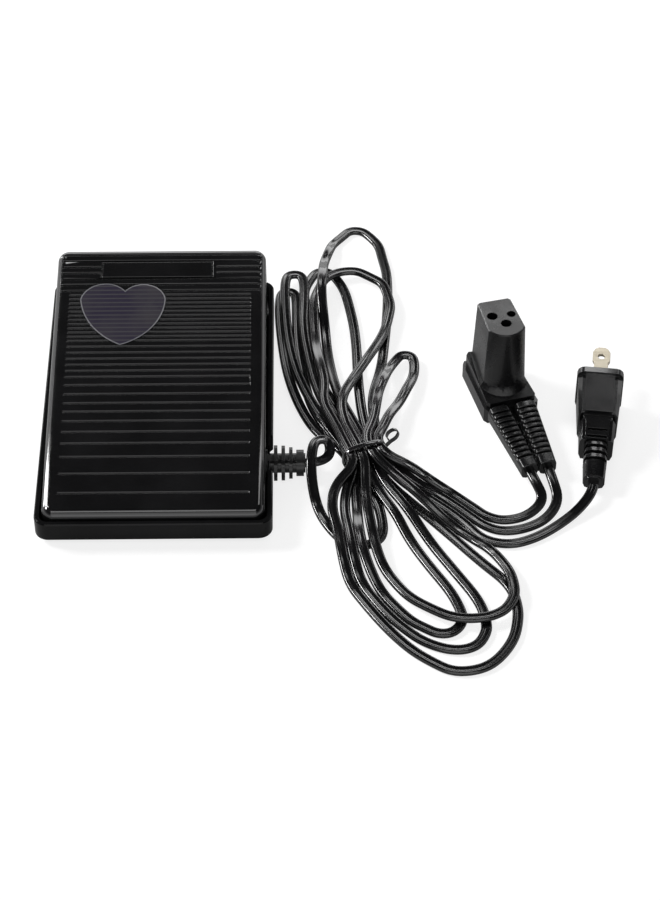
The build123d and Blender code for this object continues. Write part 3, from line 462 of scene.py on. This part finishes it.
# ---- pedal --------------------------------------------------------------------------------
@dataclass
class Pedal:
    """The tray, the treadle over it, its label and everything between them.

    Attributes:
        tray_ease: rounding of the tray's edges, in millimetres.
        cover_ease: rounding of the treadle's edges and grooves.
        relief_ease: rounding of the cord sleeve's plates.
        foot_ease: rounding of the feet.
        highlight_rim_width: width of the pale rim round the label's top, which is a painted highlight.
        travel: how far the treadle swings, in degrees; not used.
        spring_gap: room left over the pressed spring; not used.
        upward: least rise of a face that counts as the label's top.
    """

    tray_ease: float = 0.35
    cover_ease: float = 0.2
    relief_ease: float = 0.45
    foot_ease: float = 0.3
    highlight_rim_width: float = 0.5
    travel: float = 3.1
    spring_gap: float = 0.2
    upward: float = 0.8

    def build(self) -> list[bpy.types.Object]:
        """Round the housing's edges, lay the label and dress the inner parts.

        Returns:
            The new pieces.
        """
        pieces = [
            eased_copy("base_tray", "tray", "tray_black", Body.BASE, self.tray_ease),
            eased_copy("treadle_cover", "cover", "cover_black", Body.TREADLE, self.cover_ease, full=True),
            eased_copy("strain_relief", "entry_sleeve", "relief_black", Body.BASE, self.relief_ease, segments=3),
            eased_copy("rubber_feet", "feet", "foot_rubber", Body.BASE, self.foot_ease),
            self.lay_label(),
            self.seat_spring(),
        ]
        self.dress_parts()
        return pieces

    def lay_label(self) -> bpy.types.Object:
        """Lay the bare heart of film, with a pale painted highlight round the rim of its top.

        Returns:
            The label.
        """
        shape = merged_copy("heart_label")
        upper = [face for face in shape.faces if face.normal.z > self.upward]
        edge = bmesh.ops.inset_region(shape, faces=upper, thickness=self.highlight_rim_width * MM, use_even_offset=True,
                                      use_boundary=True)
        # the rim faces carry the pale painted highlight
        for face in edge["faces"]:
            face.material_index = 1
        film = finish_object("film_heart", shape, "label_violet", Body.TREADLE)
        film.data.materials.append(PAINTED_RIM_HIGHLIGHT.make())
        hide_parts("heart_label")
        return film

    def seat_spring(self) -> bpy.types.Object:
        """Make the return spring.

        Returns:
            The spring.
        """
        spring = finish_object("spring", merged_copy("return_spring"), "spring_steel", Body.BASE)
        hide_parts("return_spring")
        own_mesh(spring)
        return spring

    def dress_parts(self) -> None:
        """Give every carried-over part the finish of its slot."""
        for entry in frame["record"]["subparts"]:
            part = frame["nodes"][entry["node"]]
            part.data.materials.clear()
            part.data.materials.append(material_for(entry["material_slot"]))


# ---- cords --------------------------------------------------------------------------------
LOW, BRIDGE = 1.9, 6.0  # height of a cord on the floor, and over another one
TIE_PLACE, TIE_TURN = (90.5, -29.0), 20.0
LANE, LAYER, LAYER_Z0 = 4.6, 4.25, 3.1  # spacing of the cords inside the tie, and height of the lowest
MIDDLE_LANE = 1.5


def heading(degrees: float) -> Vector:
    """Flat unit vector in a direction.

    Args:
        degrees: the direction, counted from +X towards +Y.

    Returns:
        The vector.
    """
    return Vector((math.cos(math.radians(degrees)), math.sin(math.radians(degrees)), 0))


def waist(layer: int, lane: int, away: bool) -> Station:
    """Place of a cord inside the tie.

    Args:
        layer: 0 for the lowest.
        lane: 0 for the leftmost.
        away: True where the cord runs towards the toe end.

    Returns:
        The station there.
    """
    centre = Vector((*TIE_PLACE, LAYER_Z0 + layer * LAYER)) + heading(TIE_TURN) * ((lane - MIDDLE_LANE) * LANE)
    return (centre.x, centre.y, centre.z, TIE_TURN + (90 if away else -90))


FIRST_HANK: list[Station] = [
    (97.0, -64.0, LOW, 95), (93.0, -49.3, LOW, 112), waist(0, 1, True),
    (71.5, -5, 2.4, 115), (62.4, 36, LOW, 97), (60.9, 74, LOW, 90), (57.0, 81.8, LOW, 180), (53.0, 74, LOW, -90),
    (55.6, 35, LOW, -83), (66.4, -5.5, 2.4, -66), waist(0, 0, False),
    (86.5, -56, 2.2, -88), (88, -80, BRIDGE, -82), (100.2, -113.2, LOW, -55), (111.6, -125.6, LOW, -34),
    (121.0, -129.8, LOW, 0), (128.2, -124.5, LOW, 68), (127.6, -114.5, LOW, 110), (112, -84, LOW, 117),
    (99.4, -56.2, 4.6, 118), waist(1, 1, True),
    (77, -5, 6.5, 117), (64.8, 45, BRIDGE, 97), (64.5, 82, 6.1, 90), (60.0, 90.6, 6.1, 180), (55.5, 82, 6.1, -90),
    (58.6, 36, 6.2, -81), (71.5, -5, 6.6, -65), waist(1, 0, False),
    (81.5, -56, 5.0, -94), (83.6, -80, BRIDGE, -84), (91.0, -107.5, LOW, -60), (103.6, -125.5, LOW, -48),
    (114.5, -135.0, LOW, -30), (126.5, -138.6, LOW, 0), (136.2, -133.6, LOW, 58), (138.6, -122.5, LOW, 100),
    (122, -87, LOW, 120), (102.9, -51.9, 5.2, 122), waist(1, 2, True),
    (84.5, -5, 6.5, 112), (74.3, 50, LOW, 93), (72.9, 84, 10.4, 86), (75.4, 105, 5, 74), (80.6, 118.6, LOW, 50),
    (89.5, 125.6, LOW, -4), (97.8, 118.4, LOW, -58), (102.3, 101, LOW, -80), (103.3, 76, LOW, -92),
    (100.4, 40, LOW, -96), (95, -5, 6.4, -86), waist(1, 3, False),
    (110.8, -42.6, 4.2, -47), (127.2, -55.5, LOW, -45),
]
SECOND_HANK: list[Station] = [
    (130.3, -52.4, LOW, 136), (113.8, -40.6, 7.4, 134), waist(2, 3, True),
    (99.8, -12, 10.3, 70), (108.4, 8, 6.6, 68), (114.0, 26, 4.6, 84), (110.6, 35.4, 5.2, 168), (105.0, 31, 4.6, -120),
    (98.9, 14, 8.8, -108), (95.5, -5, 10.8, -98), waist(2, 2, False),
    (107, -47, 8.2, -50), (133.2, -75.3, 2.6, -43), (144.4, -88.4, 5.4, -56), (150.6, -103, BRIDGE, -80),
    (150.0, -113.8, BRIDGE, -112), (143.6, -121.6, BRIDGE, -152), (128.5, -124.0, BRIDGE, 172),
    (111.4, -114.8, 5, 144), (99.6, -99.4, 4.4, 118), (93.6, -80, BRIDGE, 98), (90.7, -56, 8.4, 93),
    waist(2, 1, True),
    (81.0, -4, 11, 94), (89.4, 24, 8.6, 63), (102.8, 58, BRIDGE, 78), (103.9, 72, BRIDGE, 100),
    (98.2, 86.4, BRIDGE, 142), (86.0, 92.9, BRIDGE, 180), (76.4, 89.4, BRIDGE, -140), (70.9, 79.0, BRIDGE, -108),
    (69.2, 50, 6.4, -88), (72.5, 20, 10.2, -80), (74.7, -5, 10.8, -68), waist(2, 0, False),
    (76.3, -56, 8.6, -98), (79, -80, BRIDGE, -84), (86.4, -108.5, LOW, -60), (100.2, -129.8, LOW, -53),
    (112.4, -142.6, LOW, -38), (127.6, -150.0, LOW, 0), (141.6, -144.4, LOW, 46), (150.8, -128, LOW, 77),
    (151.6, -112, LOW, 100), (133, -83.5, LOW, 128), (105.8, -50.2, LOW, 130), waist(0, 2, True),
    (81.8, -5, 2.3, 112), (67.6, 34, LOW, 103), (64.8, 68, LOW, 90), (66.4, 88, LOW, 68), (73.2, 95.9, LOW, 0),
    (81.0, 88, LOW, -66), (85.6, 70, LOW, -82), (90.5, -5, 2.4, -84), waist(0, 3, False),
    (108.6, -44.4, LOW, -47), (124.1, -58.6, LOW, -45),
]


def tangent_corners(stations: list[Station]) -> list[Vector]:
    """Corners where the straight tangents of a hank's line meet, two between each pair of stations.

    Args:
        stations: points of the route with the heading there.

    Returns:
        The corners, in millimetres.
    """
    corners = []
    for a, b in zip(stations, stations[1:]):
        start, end, ahead, beyond = Vector(a[:3]), Vector(b[:3]), heading(a[3]), heading(b[3])
        chord, both, turn = end - start, ahead + beyond, 2 * (1 - ahead.dot(beyond))
        if turn < 1e-9:
            reach = chord.dot(chord) / (4 * chord.dot(beyond))
        else:
            reach = (math.sqrt(chord.dot(both) ** 2 + turn * chord.dot(chord)) - chord.dot(both)) / turn
        corners += [start + ahead * reach, end - beyond * reach]
    return corners


@dataclass
class FlatCord:
    """A flat cord of two cores side by side, laid on its route.

    Attributes:
        name: the piece's name.
        nodes: the parts that it stands for.
        lead_out: route points from where it leaves, in millimetres.
        hank: stations of its bundled length.
        lead_in: route points to its far end, in millimetres.
        length: real length, in metres; not used.
        far_end: what it carries there; not used.
        width: across both cores, in millimetres.
        thickness: of one core, in millimetres.
        settle: how far flat cords lie closer together than round ones of the same section.
        clearance: gap under a cord on the floor, in millimetres.
        web: half the web's thickness, over the radius of a core.
        fullness: size of the section's control points, over the size of the section.
    """

    name: str
    nodes: list[str]
    lead_out: list[Point]
    hank: list[Station]
    lead_in: list[Point]
    length: float
    far_end: str
    width: float = 4.6
    thickness: float = 2.6
    settle: float = 0.74
    clearance: float = 0.03
    web: float = 0.62
    fullness: float = 1.02

    def route(self) -> list[Vector]:
        """Lay out the control points of the cord's line.

        Returns:
            The points, in metres.
        """
        rest = self.thickness / 2 + self.clearance
        before, after = [Vector(p) for p in self.lead_out], [Vector(p) for p in self.lead_in]
        bundled = tangent_corners(self.hank)
        for p in bundled:
            p.z = rest + (p.z - LOW) * self.settle
        for p in before[2:] + after[:-2]:
            p.z += rest - LOW
        return [p * MM for p in before + bundled + after]

    def section(self) -> bpy.types.Object:
        """Draw the cord's section: two round cores joined by a web, as a closed curve.

        Returns:
            The section, hidden.
        """
        core = self.thickness / 2
        offset = self.width / 2 - core
        outline = []
        for side in (1, -1):
            for turn in (-66, -33, 0, 33, 66):
                angle = math.radians(turn if side > 0 else 180 + turn)
                outline.append((side * offset + core * math.cos(angle), core * math.sin(angle)))
            outline.append((0.0, side * core * self.web))
        name = self.name + "_section"
        points = [(x * self.fullness * MM, y * self.fullness * MM, 0) for x, y in outline]
        holder = in_scene(name, smooth_line(name, points, steps=4, closed=True, flat=True))
        holder.hide_render = True
        holder.hide_viewport = True
        return holder

    def build(self, carried: list[bpy.types.Object]) -> bpy.types.Object:
        """Args:
            carried: the pieces on the cord; not used.

        Returns:
            The cord.
        """
        line = smooth_line(self.name + "_line", self.route(), steps=7)
        guide = in_scene(self.name + "_guide", line)
        spots = [vertex.co for vertex in bpy.data.meshes.new_from_object(guide).vertices]
        line.bevel_mode = "OBJECT"
        line.bevel_object = self.section()
        line.use_fill_caps = True
        line.twist_mode = "Z_UP"
        shape = swept_shape(guide, merge=1e-6)
        bmesh.ops.recalc_face_normals(shape, faces=shape.faces)
        piece = finish_object(self.name, shape, "cord_black", Body.BASE, sharp=60)
        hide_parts(*self.nodes)
        return piece


def local(origin: Point, turn: float, place: Point) -> Point:
    """A point given in the frame of a part that lies turned on the floor.

    Args:
        origin: origin of the part's frame, in millimetres.
        turn: heading of its first axis, in degrees.
        place: the point in that frame, in millimetres.

    Returns:
        The point in the row's frame, in millimetres.
    """
    along, across = heading(turn), heading(turn + 90)
    spot = Vector(origin) + along * place[0] + across * place[1] + Vector((0, 0, place[2]))
    return (spot.x, spot.y, spot.z)


@dataclass
class Ends:
    """The machine connector with its two boots, and the mains plug with its ribbed tail.

    Attributes:
        connector_origin: origin of the connector's frame, in millimetres.
        connector_turn: heading of the boots' side, in degrees.
        boot_start: where the boots begin, along that heading.
        boot_lane: distance of each boot from the middle.
        boot_lean: how far each boot turns outwards, in degrees.
        boot_length: length of a boot.
        plug_origin: origin of the plug's frame.
        plug_turn: heading of the blades.
        plug_tail: where the cord leaves, behind the origin.
        cord_height: height of the cords' middle there.
        web_end: how far before the boots' ends their web stops.
        web_half: half the web's thickness.
        web_drop: how far the web lies under the boots' middle.
        web_ease: rounding of the web's edges.
        body_ease: rounding of the connector's edges.
        boot_ease: rounding of the boots' edges.
        plug_ease: rounding of the plug's edges.
        blade_ease: rounding of the blades' edges.
    """

    connector_origin: Point = (151.0, 15.0, 0.0)
    connector_turn: float = -75.0
    boot_start: float = 19.0
    boot_lane: float = 6.2
    boot_lean: float = 3.1
    boot_length: float = 38.2
    plug_origin: Point = (195.5, 6.0, 0.0)
    plug_turn: float = 83.0
    plug_tail: float = 55.0
    cord_height: float = 6.0
    web_end: float = 3.0
    web_half: float = 1.3
    web_drop: float = 2.6
    web_ease: float = 0.4
    body_ease: float = 0.35
    boot_ease: float = 0.34
    plug_ease: float = 0.4
    blade_ease: float = 0.22

    def boot_run(self, side: int, past: float) -> Point:
        """A point on a boot's middle line.

        Args:
            side: 1 for the right boot, -1 for the left.
            past: distance past the boot's end, in millimetres.

        Returns:
            The point, in millimetres.
        """
        start = local(self.connector_origin, self.connector_turn,
                      (self.boot_start, side * self.boot_lane, self.cord_height))
        spot = Vector(start) + heading(self.connector_turn - side * self.boot_lean) * (self.boot_length + past)
        return (spot.x, spot.y, spot.z)

    def tail_run(self, past: float) -> Point:
        """A point on the plug's middle line.

        Args:
            past: distance behind its tail, in millimetres.

        Returns:
            The point, in millimetres.
        """
        return local(self.plug_origin, self.plug_turn, (-self.plug_tail - past, 0, self.cord_height))

    def boot_web(self) -> bpy.types.Object:
        """Make the thin web that joins the two boots along their inner flanks.

        Returns:
            The web.
        """
        shape = bmesh.new()
        bmesh.ops.create_cube(shape, size=2.0)
        for corner in shape.verts:
            across, along, up = corner.co
            past = -self.web_end if along > 0 else -self.boot_length
            spot = Vector(self.boot_run(1 if across > 0 else -1, past))
            corner.co = (spot + Vector((0, 0, up * self.web_half - self.web_drop))) * MM
        bmesh.ops.bevel(shape, geom=shape.edges[:], offset=self.web_ease * MM, segments=2, profile=0.5, affect="EDGES",
                        material=-1)
        bmesh.ops.recalc_face_normals(shape, faces=shape.faces)
        return finish_object("boot_web", shape, "boot_black", Body.BASE)

    def connector(self) -> list[bpy.types.Object]:
        """Make the connector's half-matt body, its boots and the web between them.

        Returns:
            The pieces.
        """
        return [
            self.boot_web(),
            eased_copy("connector_body", "connector", "connector_black", Body.BASE, self.body_ease, segments=3),
            eased_copy("boot_left", "left_boot", "boot_black", Body.BASE, self.boot_ease, segments=3),
            eased_copy("boot_right", "right_boot", "boot_black", Body.BASE, self.boot_ease, segments=3),
        ]

    def plug(self) -> list[bpy.types.Object]:
        """Make the plug's body, ribbed tail and blades.

        Returns:
            The pieces.
        """
        return [
            eased_copy("plug_body", "plug", "plug_black", Body.BASE, self.plug_ease, segments=3),
            eased_copy("plug_relief", "plug_tail", "plug_black", Body.BASE, self.plug_ease, segments=3),
            eased_copy("plug_blades", "blades", "blade_nickel", Body.BASE, self.blade_ease),
        ]


@dataclass
class TwistTie:
    """A flat plastic tie with a wire core, taken once round the bundle and twisted shut.

    Attributes:
        width: of the strip, in millimetres.
        thickness: of the strip, in millimetres.
        ease: rounding of its edges, in millimetres.
        corner: turn between two faces, in radians, that makes such an edge.
        loop_place: where the loose loop leaves the band, from the tie's place.
        loop_turn: how far the loop leans, in degrees.
    """

    width: float = 2.2
    thickness: float = 0.5
    ease: float = 0.14
    corner: float = 1.2
    loop_place: Point = (10.9, 0.4, 7.6)
    loop_turn: float = -24.0

    def strip(self, name: str, outline: list[tuple[float, float]], closed: bool, stand: Matrix) -> bpy.types.Object:
        """Sweep the tie's flat section along a smooth line.

        Args:
            name: the piece's name.
            outline: the line's points in its own plane, in millimetres.
            closed: whether the line closes.
            stand: where that plane stands, in millimetres.

        Returns:
            The strip.
        """
        line = smooth_line(name, [(x, y, 0) for x, y in outline], steps=8, closed=closed, flat=True)
        line.fill_mode = "NONE"
        line.extrude = self.width / 2
        shape = swept_shape(in_scene(name, line), merge=1e-3)
        bmesh.ops.solidify(shape, geom=shape.faces, thickness=self.thickness)
        bmesh.ops.recalc_face_normals(shape, faces=shape.faces)
        edges = [edge for edge in shape.edges if edge.calc_face_angle(0) > self.corner]
        bmesh.ops.bevel(shape, geom=edges, offset=self.ease, segments=2, profile=0.5, affect="EDGES", material=-1)
        bmesh.ops.transform(shape, matrix=Matrix.Scale(MM, 4) @ stand, verts=shape.verts)
        return finish_object(name, shape, "tie_black", Body.BASE, sharp=50)

    def build(self) -> list[bpy.types.Object]:
        """Make the band round the bundle and its loose loop.

        Returns:
            The tie's pieces.
        """
        ring = [(-9.7, 0.62), (-10.4, 2.4), (-10.3, 6.6), (-8.7, 10.1), (-4.0, 11.1), (4.0, 11.1), (8.7, 10.1),
                (10.3, 6.6), (10.4, 2.4), (9.7, 0.62), (4.0, 0.42), (-4.0, 0.42)]
        across = Matrix.Translation((*TIE_PLACE, 0)) @ Matrix.Rotation(math.radians(TIE_TURN), 4, "Z")
        upright = across @ Matrix.Rotation(math.radians(90), 4, "X")
        loop = [(-1.2, -0.6), (1.2, 0.3), (4.2, 0.2), (6.4, 2.2), (5.4, 4.8), (2.4, 5.0), (0.6, 3.0), (1.4, 0.9)]
        beside = across @ Matrix.Translation(self.loop_place) @ Matrix.Rotation(math.radians(self.loop_turn), 4, "Y")
        pieces = [self.strip("tie_band", ring, True, upright), self.strip("tie_loop", loop, False, beside)]
        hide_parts("cord_tie")
        return pieces


@dataclass
class Leads:
    """Both flat cords, what they end in, and the tie round their hanks.

    Attributes:
        ends: the connector and the plug.
        tie: the tie.
    """

    ends: Ends = field(default_factory=Ends)
    tie: TwistTie = field(default_factory=TwistTie)

    def build(self) -> list[bpy.types.Object]:
        """Lay the two cords.

        Returns:
            The cords and the pieces on them.
        """
        ends = self.ends
        connector, plug, tie = ends.connector(), ends.plug(), self.tie.build()
        pedal_cord = FlatCord(
            "pedal_cord", ["pedal_lead", "first_hank", "machine_lead"],
            [(64.6, -35.2, 6.0), (69.8, -35.2, 6.0), (75.6, -31.0, 6.6), (75.0, -23.8, 9.4), (68.6, -25.4, 11.0),
             (67.0, -36.0, 10.8), (67.2, -46.5, 6.6), (69.4, -57.5, LOW), (73.6, -68.0, LOW), (79.6, -77.0, LOW),
             (86.6, -80.6, LOW), (93.4, -79.2, LOW), (97.85, -73.66, LOW)],
            FIRST_HANK,
            [(134.2, -62.5, LOW), (141.0, -69.6, LOW), (148.3, -72.8, LOW), (158.4, -71.2, LOW), (168.0, -65.4, LOW),
             (173.6, -56.0, 3.6), ends.boot_run(1, 6.6), ends.boot_run(1, 0)],
            length=1.571, far_end="connector")
        mains_cord = FlatCord(
            "mains_cord", ["machine_return", "second_hank", "mains_lead"],
            [ends.boot_run(-1, 0), ends.boot_run(-1, 6.0), (167.4, -55.4, 3.4), (160.0, -63.6, LOW),
             (149.5, -66.6, LOW), (142.0, -63.9, LOW), (137.2, -59.07, LOW)],
            SECOND_HANK,
            [(132.1, -66.6, LOW), (139.6, -77.6, LOW), (151.0, -80.6, LOW), (162.0, -76.8, LOW), (172.6, -69.2, LOW),
             (181.8, -61.4, 3.4), ends.tail_run(5.0), ends.tail_run(0)],
            length=1.443, far_end="plug")
        sleeves = frame["nodes"]["contact_sleeves"]
        cords = [pedal_cord.build([*connector, sleeves, *tie]), mains_cord.build(plug)]
        return cords + connector + plug + tie


# ---- studio -------------------------------------------------------------------------------
@dataclass(frozen=True)
class Lamp:
    """A rectangular softbox.

    Attributes:
        name: its name.
        place: where it hangs, in metres.
        size: its width and height, in metres.
        power: its power, in watts.
    """

    name: str
    place: Point
    size: tuple[float, float]
    power: float


# strips draw the highlights along the sides, and the large boxes lift the back, the front and the top
LAMPS = (
    Lamp("left_strip", (-0.300, 0.146, 0.24), (0.034, 0.46), 0.72),
    Lamp("right_strip", (0.253, 0.139, 0.250), (0.03, 0.24), 0.060),
    Lamp("left_toe_strip", (-0.300, 0.345, 0.13), (0.026, 0.26), 0.30),
    Lamp("right_toe_strip", (0.253, 0.345, 0.224), (0.026, 0.15), 0.08),
    Lamp("low_back", (-0.05, 1.25, 0.46), (1.2, 0.4), 3.4),
    Lamp("back_box", (-0.90, 0.95, 0.62), (0.6, 0.4), 0.9),
    Lamp("front_panel", (0.10, -1.35, 0.72), (1.5, 1.1), 4.6),
    Lamp("over_back", (0.24, 0.85, 0.81), (0.22, 0.16), 0.50),
    Lamp("top_box", (0.05, -0.62, 1.30), (1.1, 0.45), 3.0),
)


@dataclass
class Studio:
    """White floor, pale surroundings, soft lamps and the camera.

    Attributes:
        camera_place: where the camera stands, in metres.
        camera_tilt: its turn up from straight down, in degrees.
        camera_turn: its turn about the vertical, in degrees.
        lens: focal length, in millimetres.
        floor_half: half the floor's width, in metres.
        floor_tone: how much light the floor gives back.
        floor_glow: light of its own, as the camera sees it.
        floor_mirrored: light of its own, as glossy surfaces see it.
        sky: height and colour of the surroundings at three levels, from the horizon up.
        sun_place: direction of the sun, from the origin.
        sun_power: strength of the sun.
        sun_spread: how wide the sun is, in degrees.
        aim: what the lamps point at, in metres.
    """

    camera_place: Point = (0.06646, -0.83455, 0.81317)
    camera_tilt: float = 45.0
    camera_turn: float = -0.63
    lens: float = 104.56
    floor_half: float = 3.0
    floor_tone: float = 0.30
    floor_glow: float = 0.78
    floor_mirrored: float = 0.10
    sky: tuple[tuple[float, Point], ...] = ((0.06, (1, 1, 1)), (0.34, (0.34, 0.34, 0.35)),
                                            (0.60, (0.020, 0.020, 0.022)))
    sun_place: Point = (-0.72, 0.25, 0.65)
    sun_power: float = 2.2
    sun_spread: float = 15.0
    aim: Point = (0.05, -0.02, 0.01)

    def build(self) -> None:
        """Make the floor, the surroundings, the lamps and the camera."""
        self.lay_floor()
        self.fill_world()
        self.hang_lamps()
        self.set_camera()

    def lay_floor(self) -> None:
        """Lay a wide white sheet, bright to the eye and shaded only by the object."""
        sheet = bmesh.new()
        bmesh.ops.create_grid(sheet, x_segments=4, y_segments=4, size=self.floor_half)
        mesh = bpy.data.meshes.new("floor")
        sheet.to_mesh(mesh)
        sheet.free()
        floor = in_scene("floor", mesh)
        material = bpy.data.materials.new("white_sheet")
        material.use_nodes = True
        tree = material.node_tree
        shader = tree.nodes["Principled BSDF"]
        shader.inputs["Base Color"].default_value = (self.floor_tone, self.floor_tone, self.floor_tone, 1)
        shader.inputs["Roughness"].default_value = 0.9
        shader.inputs["Specular IOR Level"].default_value = 0.1
        shader.inputs["Emission Color"].default_value = (1, 1, 1, 1)
        rays = tree.nodes.new("ShaderNodeLightPath")
        both = tree.nodes.new("ShaderNodeMath")
        both.operation = "MAXIMUM"
        tree.links.new(rays.outputs["Is Camera Ray"], both.inputs[0])
        tree.links.new(rays.outputs["Is Transmission Ray"], both.inputs[1])
        lift = tree.nodes.new("ShaderNodeMath")
        lift.operation = "MULTIPLY"
        lift.inputs[1].default_value = self.floor_glow
        tree.links.new(both.outputs[0], lift.inputs[0])
        mirrored = tree.nodes.new("ShaderNodeMath")
        mirrored.operation = "MULTIPLY_ADD"
        mirrored.inputs[1].default_value = self.floor_mirrored
        tree.links.new(rays.outputs["Is Glossy Ray"], mirrored.inputs[0])
        tree.links.new(lift.outputs[0], mirrored.inputs[2])
        tree.links.new(mirrored.outputs[0], shader.inputs["Emission Strength"])
        mesh.materials.append(material)

    def fill_world(self) -> None:
        """Make surroundings that are white at the horizon and dim overhead."""
        world = bpy.data.worlds.new("surroundings")
        world.use_nodes = True
        tree = world.node_tree
        back = tree.nodes["Background"]
        place = tree.nodes.new("ShaderNodeTexCoord")
        split = tree.nodes.new("ShaderNodeSeparateXYZ")
        ramp = tree.nodes.new("ShaderNodeValToRGB")
        tree.links.new(place.outputs["Generated"], split.inputs["Vector"])
        tree.links.new(split.outputs["Z"], ramp.inputs["Fac"])
        stops = ramp.color_ramp.elements
        low, middle, high = self.sky
        for stop, (level, colour) in ((stops[0], low), (stops[1], high)):
            stop.position, stop.color = level, (*colour, 1)
        stops.new(middle[0]).color = (*middle[1], 1)
        tree.links.new(ramp.outputs["Color"], back.inputs["Color"])
        back.inputs["Strength"].default_value = 1.0
        bpy.context.scene.world = world

    def hang_lamps(self) -> None:
        """Hang a soft sun for the even level, and the softboxes for the highlights."""
        sun = bpy.data.lights.new("key", "SUN")
        sun.energy = self.sun_power
        sun.angle = math.radians(self.sun_spread)
        self.place_lamp(sun, self.sun_place, (0, 0, 0))
        for box in LAMPS:
            lamp = bpy.data.lights.new(box.name, "AREA")
            lamp.shape = "RECTANGLE"
            lamp.size, lamp.size_y = box.size
            lamp.energy = box.power
            self.place_lamp(lamp, box.place, self.aim)

    @staticmethod
    def place_lamp(lamp: bpy.types.Light, place: Point, target: Point) -> None:
        """Hang a lamp and aim it.

        Args:
            lamp: its light data.
            place: where it hangs, in metres.
            target: what it points at, in metres.
        """
        holder = in_scene(lamp.name, lamp)
        holder.location = place
        holder.rotation_euler = (Vector(target) - Vector(place)).to_track_quat("-Z", "Y").to_euler()
        holder.visible_camera = False

    def set_camera(self) -> None:
        """Take the view from above the heel end."""
        lens = bpy.data.cameras.new("camera")
        lens.lens = self.lens
        lens.clip_end = 50
        camera = in_scene("camera", lens)
        camera.location = self.camera_place
        camera.rotation_euler = (math.radians(self.camera_tilt), 0, math.radians(self.camera_turn))
        bpy.context.scene.camera = camera
        bpy.context.scene.view_settings.view_transform = "Standard"


def main() -> None:
    """Build the sub-assemblies in order and report each piece."""
    logging.basicConfig(level=logging.INFO, format="%(message)s")
    for piece in Pedal().build():
        log.info("pedal: %s", piece.name)
    for piece in Leads().build():
        log.info("leads: %s", piece.name)
    Studio().build()


if __name__ == "__main__":
    main()
